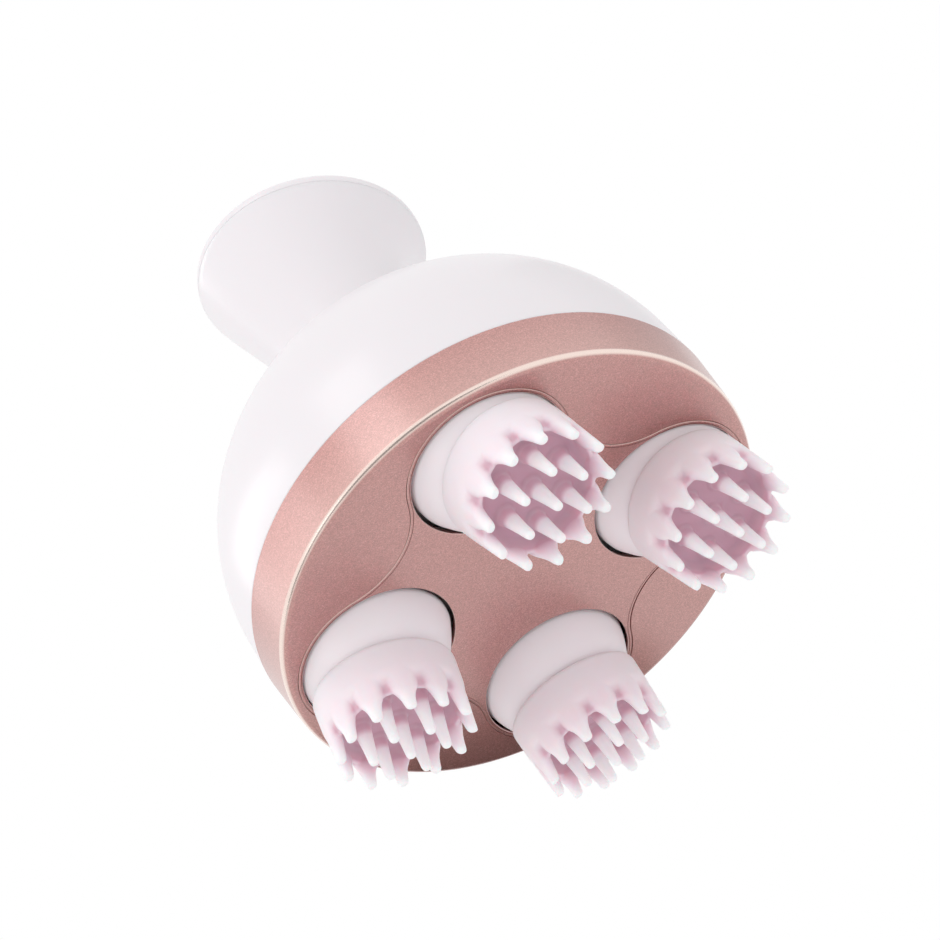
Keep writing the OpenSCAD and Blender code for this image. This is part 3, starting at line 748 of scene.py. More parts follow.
FINISHES: tuple[Finish, ...] = (
    FlakePaint(Slot.ROSE, (0.555, 0.255, 0.228), roughness=0.5, metallic=0.85, drift=0.05,
               drift_scale=30.0, roughness_drift=0.03, grain_depth=0.000004, coat=1.0,
               coat_roughness=0.27, coat_ior=1.95),
    Finish(Slot.SHELL, (0.84, 0.80, 0.826), roughness=0.3, drift=0.02, drift_scale=12.0,
           grain_depth=0.000001, coat=0.1, coat_roughness=0.15, scatter=0.15, scatter_depth=0.002),
    Finish(Slot.HEAD, (0.89, 0.83, 0.863), roughness=0.38, drift=0.02, drift_scale=60.0,
           grain_depth=0.000002, scatter=0.3, scatter_depth=0.002),
    SoftSilicone(Slot.SILICONE, (0.885, 0.80, 0.842), roughness=0.48, drift=0.02, drift_scale=120.0,
                 grain_depth=0.000003, sheen=0.2, scatter=0.8, scatter_depth=0.003, ior=1.43),
    Finish(Slot.SEAL, (0.03, 0.03, 0.033), roughness=0.75, grain_depth=0.00001),
    Finish(Slot.GROMMET, (0.48, 0.46, 0.48), roughness=0.65, grain_depth=0.000008),
    Finish(Slot.LIGHT, (0.9, 0.9, 0.85), roughness=0.4, scatter=0.4, scatter_depth=0.002),
    Finish(Slot.DARK, (0.012, 0.012, 0.014), roughness=0.5, grain_depth=0.00001),
    Finish(Slot.INNER, (0.68, 0.68, 0.67), roughness=0.5, grain_depth=0.000008),
    Finish(Slot.GEAR, (0.78, 0.71, 0.52), roughness=0.42, grain_depth=0.000006, scatter=0.1),
    CircuitBoard(Slot.BOARD, (0.015, 0.11, 0.035), roughness=0.35, coat=0.3, grain_depth=0.00003),
    Finish(Slot.CELL, (0.03, 0.09, 0.32), roughness=0.32, coat=0.3, drift_scale=200.0),
    Finish(Slot.CABLE, (0.62, 0.62, 0.6), roughness=0.55, grain_scale=900.0),
    TurnedMetal(Slot.BRASS, (0.62, 0.42, 0.14), roughness=0.3, metallic=1.0, grain_depth=0.000004),
    TurnedMetal(Slot.STEEL, (0.52, 0.52, 0.54), roughness=0.28, metallic=1.0, grain_depth=0.000004),
)


class Paintbox:
    """The object's materials, by slot."""

    def __init__(self) -> None:
        """Build every finish once."""
        effects = SharedEffects()
        self.materials = {finish.slot: finish.material(effects) for finish in FINISHES}

    def dress(self, piece: Piece, slot: Slot) -> None:
        """Give a piece the material of a slot."""
        piece.data.materials.clear()
        piece.data.materials.append(self.materials[slot])


# ---- Places ----


@dataclass
class Layout:
    """Places and sizes that the sub-assemblies share, in millimetres and degrees."""

    body_r: float
    face_z: float
    seam_z: float
    land_z: float
    pivot_z: float
    head_axes: tuple[Point, ...]
    slant: float
    lean: float = 13.0
    lean_to: tuple[float, ...] = (-53.7, -50.0, 143.3, 89.6)
    outer_turn: tuple[float, ...] = (6.6, 18.8, 21.2, 10.9)
    inner_turn: tuple[float, ...] = (36.6, 48.8, 51.2, 10.9)
    opening_r: float = 16.3
    knob_h: float = 38.0
    socket_side: float = 135.0

    @classmethod
    def from_frame(cls, frame: dict[str, Any]) -> Layout:
        """Read the places from the frame.


        Returns:
            The layout.
        """
        low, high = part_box("bezel_ring")
        joints = {joint["name"]: joint for joint in frame["joints"]}
        spins = [joints[f"head_{k}_spin"]["pos_m"] for k in range(1, 5)]
        press = joints["button_press"]["axis"]
        return cls(
            body_r=high.x / MM, face_z=low.z / MM, seam_z=high.z / MM,
            land_z=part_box("knob_shell")[0].z / MM, pivot_z=spins[0][2] / MM,
            head_axes=tuple((x / MM, y / MM) for x, y, _ in spins),
            slant=math.degrees(math.asin(-press[0])))

    def head_frame(self, index: int) -> Matrix:
        """Place of one head, whose local -Z runs out along its leaning axis.

        Args:
            index: Number of the head, from 0.

        Returns:
            The head's matrix, in millimetres.
        """
        x, y = self.head_axes[index]
        lean = turn_by(self.lean_to[index], "Z") @ turn_by(-self.lean, "Y")
        return Matrix.Translation((x, y, self.pivot_z)) @ lean

    def bend(self, t: float) -> float:
        """Slant of the knob's section at a share of its height, in degrees."""
        return self.slant * t * t

    def knob_line(self, t: float, steps: int = 20) -> Vector:
        """Point of the knob's centre line.

        Args:
            t: Share of the knob's height, from the neck.
            steps: Steps that its curve is added up from.

        Returns:
            The point.
        """
        angles = [math.radians(self.bend(t * (i + 0.5) / steps)) for i in range(steps)]
        stretch = self.knob_h * t / steps
        return Vector((stretch * sum(map(math.sin, angles)), 0.0,
                       self.land_z + stretch * sum(map(math.cos, angles))))

    def rim_frame(self) -> Matrix:
        """Frame of the knob's rim, whose local +Z is square to it, in millimetres."""
        return Matrix.Translation(self.knob_line(1.0)) @ turn_by(self.slant, "Y")

    def socket_frame(self, height: float) -> Matrix:
        """Frame of the charging port, whose local +Z points out of the dome.

        Args:
            height: Height of its axis.

        Returns:
            The matrix, in millimetres.
        """
        way = turn_by(self.socket_side, "Z") @ turn_by(90, "Y")
        return Matrix.Translation((0.0, 0.0, height)) @ way


@dataclass
class SubAssembly:
    """A group of pieces that are built and dressed together."""

    layout: Layout
    paints: Paintbox

    def settle(self, piece: Piece, body: str, slot: Slot, *nodes: str,
               place: Matrix | None = None, shading: Shading = Shading.ROUND) -> None:
        """Finish a piece: smooth it, put it in its place in metres, and hand it to the frame.

        Args:
            piece: The piece, in millimetres.
            body: The body that it rides on.
            slot: Its material slot.
            nodes: The construction's nodes that it stands for.
            place: Where its own frame lies, in millimetres.
            shading: How it is smoothed.
        """
        smooth(piece, shading)
        if place is not None:
            piece.data.transform(place)
        piece.data.transform(Matrix.Scale(MM, 4))
        piece.data.name = piece.name
        self.paints.dress(piece, slot)
        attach(piece, body)
        if nodes:
            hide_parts(*nodes)
        LOG.info("%s: %d faces on %s", piece.name, len(piece.data.polygons), body)


# ---- Housing ----


@dataclass
class Face(SubAssembly):
    """Metallic band with a rounded lower edge, and the clover insert round the heads."""

    PAINTED_HIGHLIGHT = "crease"

    wall: float = 2.7
    wall_play: float = 0.3
    thickness: float = 2.2
    taper: float = 0.7
    edge_r: float = 1.4
    seam_edge: float = 0.2
    seam_w: float = 0.17
    seam_d: float = 0.35
    rabbet: float = 0.5
    rabbet_play: float = 0.03
    margin: float = 1.0
    waist: float = 31.3
    ring_inner: float = 27.3
    lip: float = 0.12
    bead: float = 0.24
    groove_in: float = 0.52
    groove_w: float = 0.13
    groove_d: float = 0.25
    groove_below: float = 0.5
    opening_land: float = 0.4
    opening_flare: float = 0.28
    cut_below: float = 1.0
    cut_above: float = 4.0
    level_play: float = 0.01
    edge_play: float = 0.02
    # Angles down the lower edge at which its painted highlight begins and is full, and ends and is
    # full
    crease_rise: Point = (-2.0, 10.0)
    crease_fall: Point = (56.0, 42.0)
    # Strength of the painted highlight on the bead, and the share of the bead's rounding that it
    # covers
    bead_shine: float = 0.7
    bead_share: float = 0.8

    def clover(self, name: str, grow: float, low: float, high: float) -> Piece:
        """Model a plate with the insert's outline: four lobes joined by hollow waists.

        Args:
            name: Name of the piece.
            grow: How much larger than the insert it is.
            low: Height of its underside.
            high: Height of its top.

        Returns:
            The closed plate.
        """
        diagonal = math.radians(45)
        reach = abs(self.layout.head_axes[1][0])
        lobe_r = self.layout.opening_r + self.margin
        to_waist = self.waist - lobe_r
        waist_at = (reach ** 2 - to_waist ** 2) / (2 * (reach * math.cos(diagonal) - to_waist))
        joint = math.degrees(math.atan2(waist_at * math.sin(diagonal),
                                        waist_at * math.cos(diagonal) - reach))
        radius = lobe_r + grow
        first = math.radians(-joint)
        piece = lone_point(name, (reach + radius * math.cos(first), radius * math.sin(first), low))
        for side in range(0, 360, 90):
            for angle, distance, sweep, steps in ((side, reach, 2 * joint, 56),
                                                  (side + 45, waist_at, 90 - 2 * joint, 24)):
                way = math.radians(angle)
                centre = (distance * math.cos(way), distance * math.sin(way), low)
                bpy.ops.mesh.spin(steps=steps, angle=-math.radians(sweep), center=centre,
                                  axis=(0.0, 0.0, 1.0))
        bpy.ops.mesh.select_all(action="SELECT")
        bpy.ops.mesh.remove_doubles(threshold=SPIN_MERGE)
        bpy.ops.mesh.edge_face_add()
        bpy.ops.mesh.extrude_region_move(TRANSFORM_OT_translate={"value": (0.0, 0.0, high - low)})
        close_mesh()
        return piece

    def soften_face(self, piece: Piece, width: float, segments: int) -> None:
        """Round the sharp edges that lie in the plane of the face."""
        level = self.layout.face_z + self.level_play
        soften_edges(piece, lambda a, b: a.z < level and b.z < level, width, segments)

    def band(self) -> None:
        """Model the band with its rounded lower edge and the outer part of the face."""
        lay = self.layout
        inner_r = lay.body_r - self.wall - self.wall_play
        edge_at, edge_z = lay.body_r - self.taper - self.edge_r, lay.face_z + self.edge_r
        back = lay.face_z + self.thickness
        outline = [(inner_r, lay.seam_z)]
        outline += rounded((lay.body_r, lay.seam_z), self.seam_edge, 90, 0, 5)
        outline += arc((edge_at, edge_z), self.edge_r, 0, -90, 13)
        outline += [(self.ring_inner, lay.face_z), (self.ring_inner, back), (inner_r, back),
                    (inner_r, lay.seam_z)]
        piece = turned("bezel_band", outline, steps=240)
        above = lay.face_z + self.cut_above
        seam, wide = self.seam_w / 2, self.seam_w / 2 + self.rabbet
        combine(piece, self.clover("clover_cutter", seam, lay.face_z - self.cut_below, above))
        combine(piece, self.clover("rabbet_cutter", wide, lay.face_z + self.seam_d, above))
        self.soften_face(piece, self.lip, 2)
        x, y, z = points_of(piece).T
        out, down = np.hypot(x, y) - edge_at, edge_z - z
        tilt = np.degrees(np.arctan2(down, out))
        on_edge = np.abs(np.hypot(out, down) - self.edge_r) < self.edge_play
        # Painted highlight: a stripe along the rounded lower edge, where the crease catches the
        # light
        highlight_mask = ramp(tilt, *self.crease_rise) * ramp(tilt, *self.crease_fall) * on_edge
        mark_points(piece, self.PAINTED_HIGHLIGHT, highlight_mask)
        self.settle(piece, "housing", Slot.ROSE, "bezel_ring", shading=Shading.CRISP)

    def insert(self) -> None:
        """Model the clover insert, with a bead round each opening and a fine groove in its rim."""
        lay = self.layout
        face, back = lay.face_z, lay.face_z + self.thickness
        seam = self.seam_w / 2
        piece = self.clover("clover_insert", -seam, face, back)
        step = face + self.seam_d + self.rabbet_play
        flange = self.clover("rabbet_flange", self.rabbet - seam, step, back)
        combine(piece, flange, "UNION")
        start, high = -self.cut_below, self.thickness + self.cut_below
        wide_r, top = lay.opening_r + high * self.opening_flare, self.opening_land + high
        for number, (x, y) in enumerate(lay.head_axes):
            cutter = turned(f"opening_{number}", [
                (0.0, start), (lay.opening_r, start), (lay.opening_r, self.opening_land),
                (wide_r, top), (0.0, top)], steps=160)
            cutter.data.transform(Matrix.Translation((x, y, face)))
            combine(piece, cutter)
        self.soften_face(piece, self.bead, 4)
        # Painted highlight along the bead round each opening
        heights = points_of(piece)[:, 2] - face
        on_bead = (heights > self.edge_play) & (heights < self.bead_share * self.bead)
        mark_points(piece, self.PAINTED_HIGHLIGHT, self.bead_shine * on_bead)
        low, high = face - self.groove_below, face + self.groove_d
        inset = seam + self.groove_in
        groove = self.clover("groove_cutter", -inset, low, high)
        combine(groove, self.clover("groove_core", -inset - self.groove_w, low - self.cut_below,
                                    high + self.cut_below))
        combine(piece, groove)
        self.settle(piece, "housing", Slot.ROSE, "face_plate", shading=Shading.CRISP)

    def build(self) -> None:
        """Build both pieces."""
        self.band()
        self.insert()


@dataclass
class Dome(SubAssembly):
    """White upper housing with the charging port on its far side."""

    wall: float = 2.7
    wall_play: float = 0.3
    seam_step: float = 0.1
    seam_edge: float = 0.3
    setback: float = 0.4
    wall_h: float = 8.0
    height: float = 47.0
    land_r: float = 13.2
    neck_bore: float = 6.0
    port_r: float = 4.0
    port_len: float = 13.5
    port_bore_r: float = 1.27
    port_bore_len: float = 10.0
    collar_w: float = 1.5
    collar_t: float = 2.0
    port_sink: float = 1.0
    recess_out: float = 9.0
    play: float = 0.1
    edge: float = 0.25

    @property
    def port_z(self) -> float:
        """Height of the charging port's axis."""
        low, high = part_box("charging_socket")
        return (low.z + high.z) / 2 / MM

    @property
    def port_face(self) -> float:
        """Distance of the charging port's face from the body axis."""
        rise = self.port_z - self.layout.seam_z - self.wall_h
        skin_r = (self.layout.body_r - self.setback) * math.sqrt(1 - (rise / self.height) ** 2)
        return skin_r - self.port_sink

    def vault(self, radius: float, height: float, start: float, end: float,
              steps: int) -> list[Point]:
        """Points of the rounded top, an arc of an ellipse above the upright wall.

        Args:
            radius: Its half width.
            height: Its half height.
            start: First angle, in radians.
            end: Last angle, in radians.
            steps: Number of steps between them.

        Returns:
            The points, in order.
        """
        foot = self.layout.seam_z + self.wall_h
        angles = [start + (end - start) * i / steps for i in range(steps + 1)]
        return [(radius * math.cos(a), foot + height * math.sin(a)) for a in angles]

    def shell(self) -> None:
        """Model the dome, hollow, with its neck hole and the recess of the charging port."""
        lay = self.layout
        outer_r = lay.body_r - self.setback
        inner_r = lay.body_r - self.wall - self.wall_play - self.play
        outline = [(inner_r, lay.seam_z)]
        outline += rounded((lay.body_r - self.seam_step, lay.seam_z), self.seam_edge, -90, 0, 6)
        outline += self.vault(outer_r, self.height, 0.0, math.acos(self.land_r / outer_r), 72)
        outline += [(self.neck_bore, lay.land_z)]
        outline += self.vault(inner_r, self.height - self.wall,
                              math.acos(self.neck_bore / inner_r), 0.0, 36)
        outline += [(inner_r, lay.seam_z)]
        piece = turned("dome", outline, steps=240)
        pocket_r, collar_r = self.port_r + self.play, self.port_r + self.collar_w
        step, out = self.port_face - self.collar_t, self.port_face + self.recess_out
        recess = turned("recess", [(0.0, 0.0), (pocket_r, 0.0), (pocket_r, step), (collar_r, step),
                                   (collar_r, out), (0.0, out)], steps=96)
        recess.data.transform(lay.socket_frame(self.port_z))
        combine(piece, recess)
        self.settle(piece, "housing", Slot.SHELL, "dome_shell")

    def port(self) -> None:
        """Model the charging socket with its bore, and the soft collar round it."""
        bore_floor = self.port_face - self.port_bore_len
        back = self.port_face - self.port_len
        bore = self.port_bore_r
        outline = [(0.0, bore_floor), (bore, bore_floor)]
        outline += rounded((bore, self.port_face), self.edge, 180, 90, 4)
        outline += rounded((self.port_r, self.port_face), self.edge, 90, 0, 4)
        outline += [(self.port_r, back), (0.0, back)]
        socket = turned("charging_port", outline, steps=64)
        frame = self.layout.socket_frame(self.port_z)
        self.settle(socket, "housing", Slot.DARK, "charging_socket", place=frame)
        inner, outer = self.port_r + self.play / 2, self.port_r + self.collar_w
        top, floor = self.port_face, self.port_face - self.collar_t
        outline = [(inner, floor)]
        outline += rounded((inner, top), self.edge, 180, 90, 4)
        outline += rounded((outer, top), 2 * self.edge, 90, 0, 6)
        outline += [(outer, floor), (inner, floor)]
        collar = turned("port_collar", outline, steps=96)
        self.settle(collar, "housing", Slot.GROMMET, "socket_grommet", place=frame)

    def build(self) -> None:
        """Build the dome and its port."""
        self.shell()
        self.port()


@dataclass
class Knob(SubAssembly):
    """Flared grip with a slanted end plate, a light ring and the power button."""

    neck_r: float = 13.0
    rim_r: float = 25.2
    wall: float = 2.0
    floor: float = 3.0
    flare_straight: float = 0.18
    flare_power: float = 2.1
    rim_edge: float = 0.25
    edge_middle: float = 0.3
    rings: int = 44
    inner_rings: int = 16
    cut_play: float = 1.0
    bore_r: float = 8.1
    plate_t: float = 2.4
    plate_edge: float = 1.2
    button_r: float = 8.0
    button_proud: float = 0.4
    play: float = 0.05
    guide_len: float = 4.4
    guide_wall: float = 1.5
    flange_w: float = 1.0
    flange_t: float = 0.9
    groove_at: float = 0.6
    ring_w: float = 1.6
    ring_t: float = 1.0
    groove_play: float = 0.1
    edge: float = 0.18
    # Dish of the button: depth, share of the radius at which it ends, and its points as shares
    dish: float = 0.3
    dish_end: float = 0.9
    dish_points: tuple[float, ...] = (0.0, 0.15, 0.3, 0.45, 0.6, 0.72, 0.82)
    shoulder: float = 0.55
    shoulder_drop: float = 0.03

    def flare(self, t: float) -> float:
        """Radius of the grip at a share of its height."""
        share = self.flare_straight * t + (1 - self.flare_straight) * t ** self.flare_power
        return self.neck_r + (self.rim_r - self.neck_r) * share

    def section(self, t: float, inset: float = 0.0) -> Ring:
        """Section of the grip at a share of its height, inset from the outside."""
        radius = self.flare(t) - inset
        return Ring(self.layout.knob_line(t), radius, radius, self.layout.bend(t))

    def grip(self) -> None:
        """Model the flared grip, hollow above its floor."""
        lay = self.layout
        edge_share, middle = self.rim_edge / lay.knob_h, self.edge_middle
        rings = [self.section(i / self.rings * (1 - edge_share)) for i in range(self.rings + 1)]
        rings += [self.section(1 - edge_share * middle, self.rim_edge * middle),
                  self.section(1.0, self.rim_edge), self.section(1.0, self.wall)]
        depth, count = 1 - self.floor / lay.knob_h, self.inner_rings
        rings += [self.section(1 - depth * i / count, self.wall) for i in range(1, count + 1)]
        piece = stacked("grip_knob", rings, sides=192)
        low, high = lay.land_z - self.cut_play, lay.land_z + self.floor + self.cut_play
        bore = turned("neck_bore", [(0.0, low), (self.bore_r, low), (self.bore_r, high),
                                    (0.0, high)], steps=96)
        combine(piece, bore)
        self.settle(piece, "housing", Slot.SHELL, "knob_shell")

    def end(self) -> None:
        """Model the end plate with its guide and groove, and the light ring in the groove."""
        frame = self.layout.rim_frame()
        guide = self.button_r + self.play
        inner, outer = guide + self.groove_at, guide + self.groove_at + self.ring_w
        top, floor = self.plate_t, self.plate_t - self.ring_t
        small = self.edge
        outline = [(guide, -self.guide_len)] + rounded((guide, top), small, 180, 90, 4)
        outline += [(inner - self.groove_play, top), (inner - self.groove_play, floor),
                    (outer + self.groove_play, floor)]
        outline += rounded((outer + self.groove_play, top), small, 180, 90, 4)
        outline += rounded((self.rim_r, top), self.plate_edge, 90, 0, 12)
        outline += rounded((self.rim_r, 0.0), small, 0, -90, 4)
        outline += [(guide + self.guide_wall, 0.0), (guide + self.guide_wall, -self.guide_len),
                    (guide, -self.guide_len)]
        plate = turned("knob_end", outline, steps=192)
        self.settle(plate, "housing", Slot.SHELL, "knob_end_plate", place=frame)
        outline = [(inner, floor)] + rounded((inner, top), small, 180, 90, 4)
        outline += rounded((outer, top), small, 90, 0, 4)
        outline += [(outer, floor), (inner, floor)]
        ring = turned("light_ring_lens", outline, steps=160)
        self.settle(ring, "housing", Slot.LIGHT, "light_ring", place=frame)

    def button(self) -> None:
        """Model the dished power button on its flange."""
        top, foot = self.plate_t + self.button_proud, -self.guide_len
        flange_r = self.button_r + self.flange_w
        outline = [(self.button_r * s, top - self.dish * (1 - (s / self.dish_end) ** 2))
                   for s in self.dish_points]
        outline += rounded((self.button_r, top - self.shoulder_drop), self.shoulder, 85, 0, 8)
        outline += [(self.button_r, foot), (flange_r, foot), (flange_r, foot - self.flange_t),
                    (0.0, foot - self.flange_t)]
        piece = turned("power_button_cap", outline, steps=128)
        self.settle(piece, "button", Slot.ROSE, "power_button", place=self.layout.rim_frame())

    def build(self) -> None:
        """Build the grip, its end and the button."""
        self.grip()
        self.end()
        self.button()


# ---- Heads ----


@dataclass
class HeadBase(SubAssembly):
    """Hard tapered base of each head. Depths run down its axis from the point it leans about."""

    top: float = 1.5
    wide_r: float = 16.5
    wide_depth: float = 3.4
    neck_r: float = 16.1
    neck_depth: float = 5.0
    end_r: float = 12.9
    end_depth: float = 12.6
    plug_r: float = 11.0
    plug_depth: float = 17.5
    bore_r: float = 2.55
    edge: float = 1.0
    bulge: float = 0.3
    steps: int = 12

    def model(self) -> Piece:
        """Model one base in its own frame.

        Returns:
            The piece.
        """
        outline = [(self.bore_r, -self.top)]
        outline += rounded((self.wide_r, -self.top), self.edge, 90, 0, 8)
        outline += [(self.wide_r, -self.wide_depth)]
        narrower, lower = self.end_r - self.neck_r, self.end_depth - self.neck_depth
        for i in range(1, self.steps + 1):
            s = i / self.steps
            radius = self.neck_r + narrower * s + self.bulge * math.sin(math.pi * s)
            outline.append((radius, -self.neck_depth - lower * s))
        outline += [(self.plug_r, -self.end_depth), (self.plug_r, -self.plug_depth),
                    (self.bore_r, -self.plug_depth), (self.bore_r, -self.top)]
        return turned("base_pattern", outline, steps=160)

    def build(self) -> None:
        """Build the four bases."""
        pattern = self.model()
        for number in range(1, 5):
            piece = copied(pattern, f"head_cup_{number}")
            self.settle(piece, f"head_{number}", Slot.HEAD, f"head_base_{number}",
                        place=self.layout.head_frame(number - 1))
        bpy.data.objects.remove(pattern)


@dataclass
class FingerCap(SubAssembly):
    """Soft cap of each head: a sleeve and its crown of fingers, round a cluster of inner ones.

    Depths run down the head's axis from the point that it leans about.
    """

    INSIDE = "inside"
    TIP = "tip"

    start: float = 12.35
    straight: float = 0.7
    sleeve_r: float = 14.4
    sleeve_edge: float = 0.75
    plug_r: float = 11.0
    plug_depth: float = 17.5
    floor: float = 20.5
    crown_r: float = 10.8
    rim_r: float = 12.25
    rim_edge: float = 0.4
    valley: float = 23.0
    length: float = 27.6
    taper: float = 0.031
    outer_count: int = 12
    inner_count: int = 6
    inner_ring: float = 7.2
    inner_extra: float = 2.1
    middle_extra: float = 2.5
    voxel: float = 0.25

    # Outside of the sleeve: depth, and how far it draws in where the fingers part
    flutes: tuple[Point, ...] = (
        (14.5, 0.0), (16.0, 0.0), (17.5, 0.0), (18.4, 0.0), (19.2, 0.1), (20.0, 0.32),
        (20.8, 0.66), (21.5, 0.98), (22.1, 1.2))
    # Inside of the crown: distance out from crown_r, and height above the valley
    throat: tuple[Point, ...] = ((0.9, 1.0), (0.55, 1.7), (0.2, 2.15), (-0.6, 2.5))
    # Outer finger: height above the tip, half width and half thickness
    outer_sections: tuple[tuple[float, float, float], ...] = (
        (0.0, 0.45, 0.40), (0.08, 0.74, 0.68), (0.30, 0.98, 0.90), (0.70, 1.14, 1.02),
        (1.4, 1.24, 1.10), (2.4, 1.44, 1.18), (3.4, 1.80, 1.26), (4.2, 2.28, 1.32),
        (4.8, 2.62, 1.36), (5.6, 2.86, 1.38), (6.6, 3.02, 1.40), (7.8, 3.14, 1.42),
        (9.0, 3.18, 1.42), (9.8, 3.0, 1.40))
    # Inner finger: height above the tip and radius, then height above the floor and radius
    inner_sections: tuple[Point, ...] = (
        (0.0, 0.40), (0.08, 0.66), (0.30, 0.88), (0.70, 1.00), (1.7, 1.08), (3.7, 1.24),
        (5.7, 1.46), (7.7, 1.72))
    root: tuple[Point, ...] = ((-0.7, 1.85), (-0.2, 2.1), (0.1, 2.5), (0.5, 2.6))
    # Where the painted shade and light begin and are full, as distances in from the skin and as
    # depths
    cluster_w: float = 2.2
    hollow_in: Point = (0.25, 2.85)
    hollow_depth: Point = (19.0, 20.2)
    hollow_lift: float = 2.5
    hollow_fade: float = 1.6
    scoop_in: Point = (0.15, 1.05)
    scoop_depth: Point = (19.8, 21.3)
    scoop_end: float = 0.6
    scoop_shade: float = 0.75
    tip_from: float = 1.0
    tip_span: float = 3.5

    def skin_r(self, depth: Any) -> Any:
        """Radius of the cap's outside at one or more depths."""
        return self.sleeve_r - self.taper * np.maximum(0.0, depth - self.start - self.straight)

    def sleeve(self) -> Piece:
        """Model the sleeve, its floor and the thin lip that joins the outer fingers.

        Returns:
            The piece.
        """
        start, valley = self.start, self.valley
        outline = [(0.0, -self.plug_depth), (self.plug_r, -self.plug_depth), (self.plug_r, -start)]
        outline += rounded((self.sleeve_r, -start), self.sleeve_edge, 90, 0, 7)
        outline += [(self.skin_r(depth) - drawn_in, -depth) for depth, drawn_in in self.flutes]
        outline += arc((self.rim_r, -valley + self.rim_edge), self.rim_edge, 0, -180, 9)
        outline += [(self.crown_r + out, -valley + up) for out, up in self.throat]
        outline += [(0.0, -self.floor)]
        return turned("sleeve", outline, steps=192)

    def outer_finger(self) -> Piece:
        """Model one outer finger, flush with the sleeve's outside."""
        rings = [Ring(Vector((self.skin_r(self.length - up) - thick, 0.0, up - self.length)),
                      thick, half) for up, half, thick in self.outer_sections]
        return stacked("outer_finger", rings, sides=32)

    def inner_finger(self, length: float) -> Piece:
        """Model one inner finger on the head's axis, with its tip at a depth."""
        rings = [Ring(Vector((0.0, 0.0, up - depth)), radius, radius)
                 for depth, sections in ((length, self.inner_sections), (self.floor, self.root))
                 for up, radius in sections]
        return stacked("inner_finger", rings, sides=28)

    def ring_of(self, pattern: Piece, count: int, turn: float) -> list[Piece]:
        """Copy a finger round the head's axis and remove the pattern.

        Args:
            pattern: The finger.
            count: Number of copies.
            turn: Angle of the first one, in degrees.

        Returns:
            The copies.
        """
        made = []
        for i in range(count):
            twin = copied(pattern, f"finger_{i}")
            twin.data.transform(turn_by(turn + 360 * i / count, "Z"))
            made.append(twin)
        bpy.data.objects.remove(pattern)
        return made

    def model(self, inner_turn: float) -> Piece:
        """Model one cap in its own frame, with an outer finger along +X.

        Args:
            inner_turn: Angle of the first inner finger, in degrees.

        Returns:
            The piece.
        """
        parts = [self.sleeve()]
        parts += self.ring_of(self.outer_finger(), self.outer_count, 0.0)
        inner = self.inner_finger(self.length + self.inner_extra)
        inner.data.transform(Matrix.Translation((self.inner_ring, 0.0, 0.0)))
        parts += self.ring_of(inner, self.inner_count, inner_turn)
        parts.append(self.inner_finger(self.length + self.middle_extra))
        piece = joined("cap_pattern", parts)
        apply_modifier(piece, "REMESH", mode="VOXEL", voxel_size=self.voxel, adaptivity=0.0)
        apply_modifier(piece, "SMOOTH", factor=0.5, iterations=4)
        self.mark_painted_light(piece)
        return piece

    def mark_painted_light(self, piece: Piece) -> None:
        """Store painted shade by how far each point lies in the crown, and painted light near tips.

        Args:
            piece: The cap, in its own frame.
        """
        x, y, z = points_of(piece).T
        depth, away = -z, np.hypot(x, y)
        inset = self.skin_r(depth) - away
        clustered = away < self.inner_ring + self.cluster_w
        inward = ramp(inset, *self.hollow_in)
        lifted = np.where(clustered, self.hollow_lift, self.length - self.floor)
        lift = ramp(depth, self.floor, self.floor + lifted)
        # Painted shade: darker mauve deep in the crown's hollows, and in the dimples above the
        # valleys
        hollow = (inward * (2 - inward) * ramp(depth, *self.hollow_depth)
                  * (1.0 - lift) ** self.hollow_fade)
        scooped = (ramp(inset, *self.scoop_in) * ramp(depth, *self.scoop_depth)
                   * ramp(depth, self.valley + self.scoop_end, self.valley - self.scoop_end))
        mark_points(piece, self.INSIDE, np.maximum(hollow, self.scoop_shade * scooped))
        # Painted light: paler towards each finger's tip
        paler = np.where(clustered, self.floor + self.tip_from, self.valley)
        mark_points(piece, self.TIP, ramp(depth, paler, paler + self.tip_span))

    def build(self) -> None:
        """Build the four caps, from one pattern for each turn of the inner fingers."""
        lay = self.layout
        patterns: dict[float, Piece] = {}
        for index, (outer, inner) in enumerate(zip(lay.outer_turn, lay.inner_turn)):
            turn = round(inner - outer, 3)
            if turn not in patterns:
                patterns[turn] = self.model(turn)
            piece = copied(patterns[turn], f"silicone_fingers_{index + 1}")
            place = lay.head_frame(index) @ turn_by(outer, "Z")
            self.settle(piece, f"head_{index + 1}", Slot.SILICONE, f"finger_cap_{index + 1}",
                        place=place)
        for pattern in patterns.values():
            bpy.data.objects.remove(pattern)


# ---- Inner pieces ----


@dataclass
class InnerWorks:
    """Gears, motor, power and fasteners, which keep the construction's own shapes."""

    frame: dict[str, Any]
    paints: Paintbox

    def build(self) -> None:
        """Give every node that is still shown the finish of its slot."""
        slots = {part["node"]: part["material_slot"] for part in self.frame["record"]["subparts"]}
        for name, node in sorted(self.frame["nodes"].items()):
            self.paints.dress(node, Slot(slots[name]))
        LOG.info("%d nodes of the construction dressed", len(slots))


# ---- Studio ----


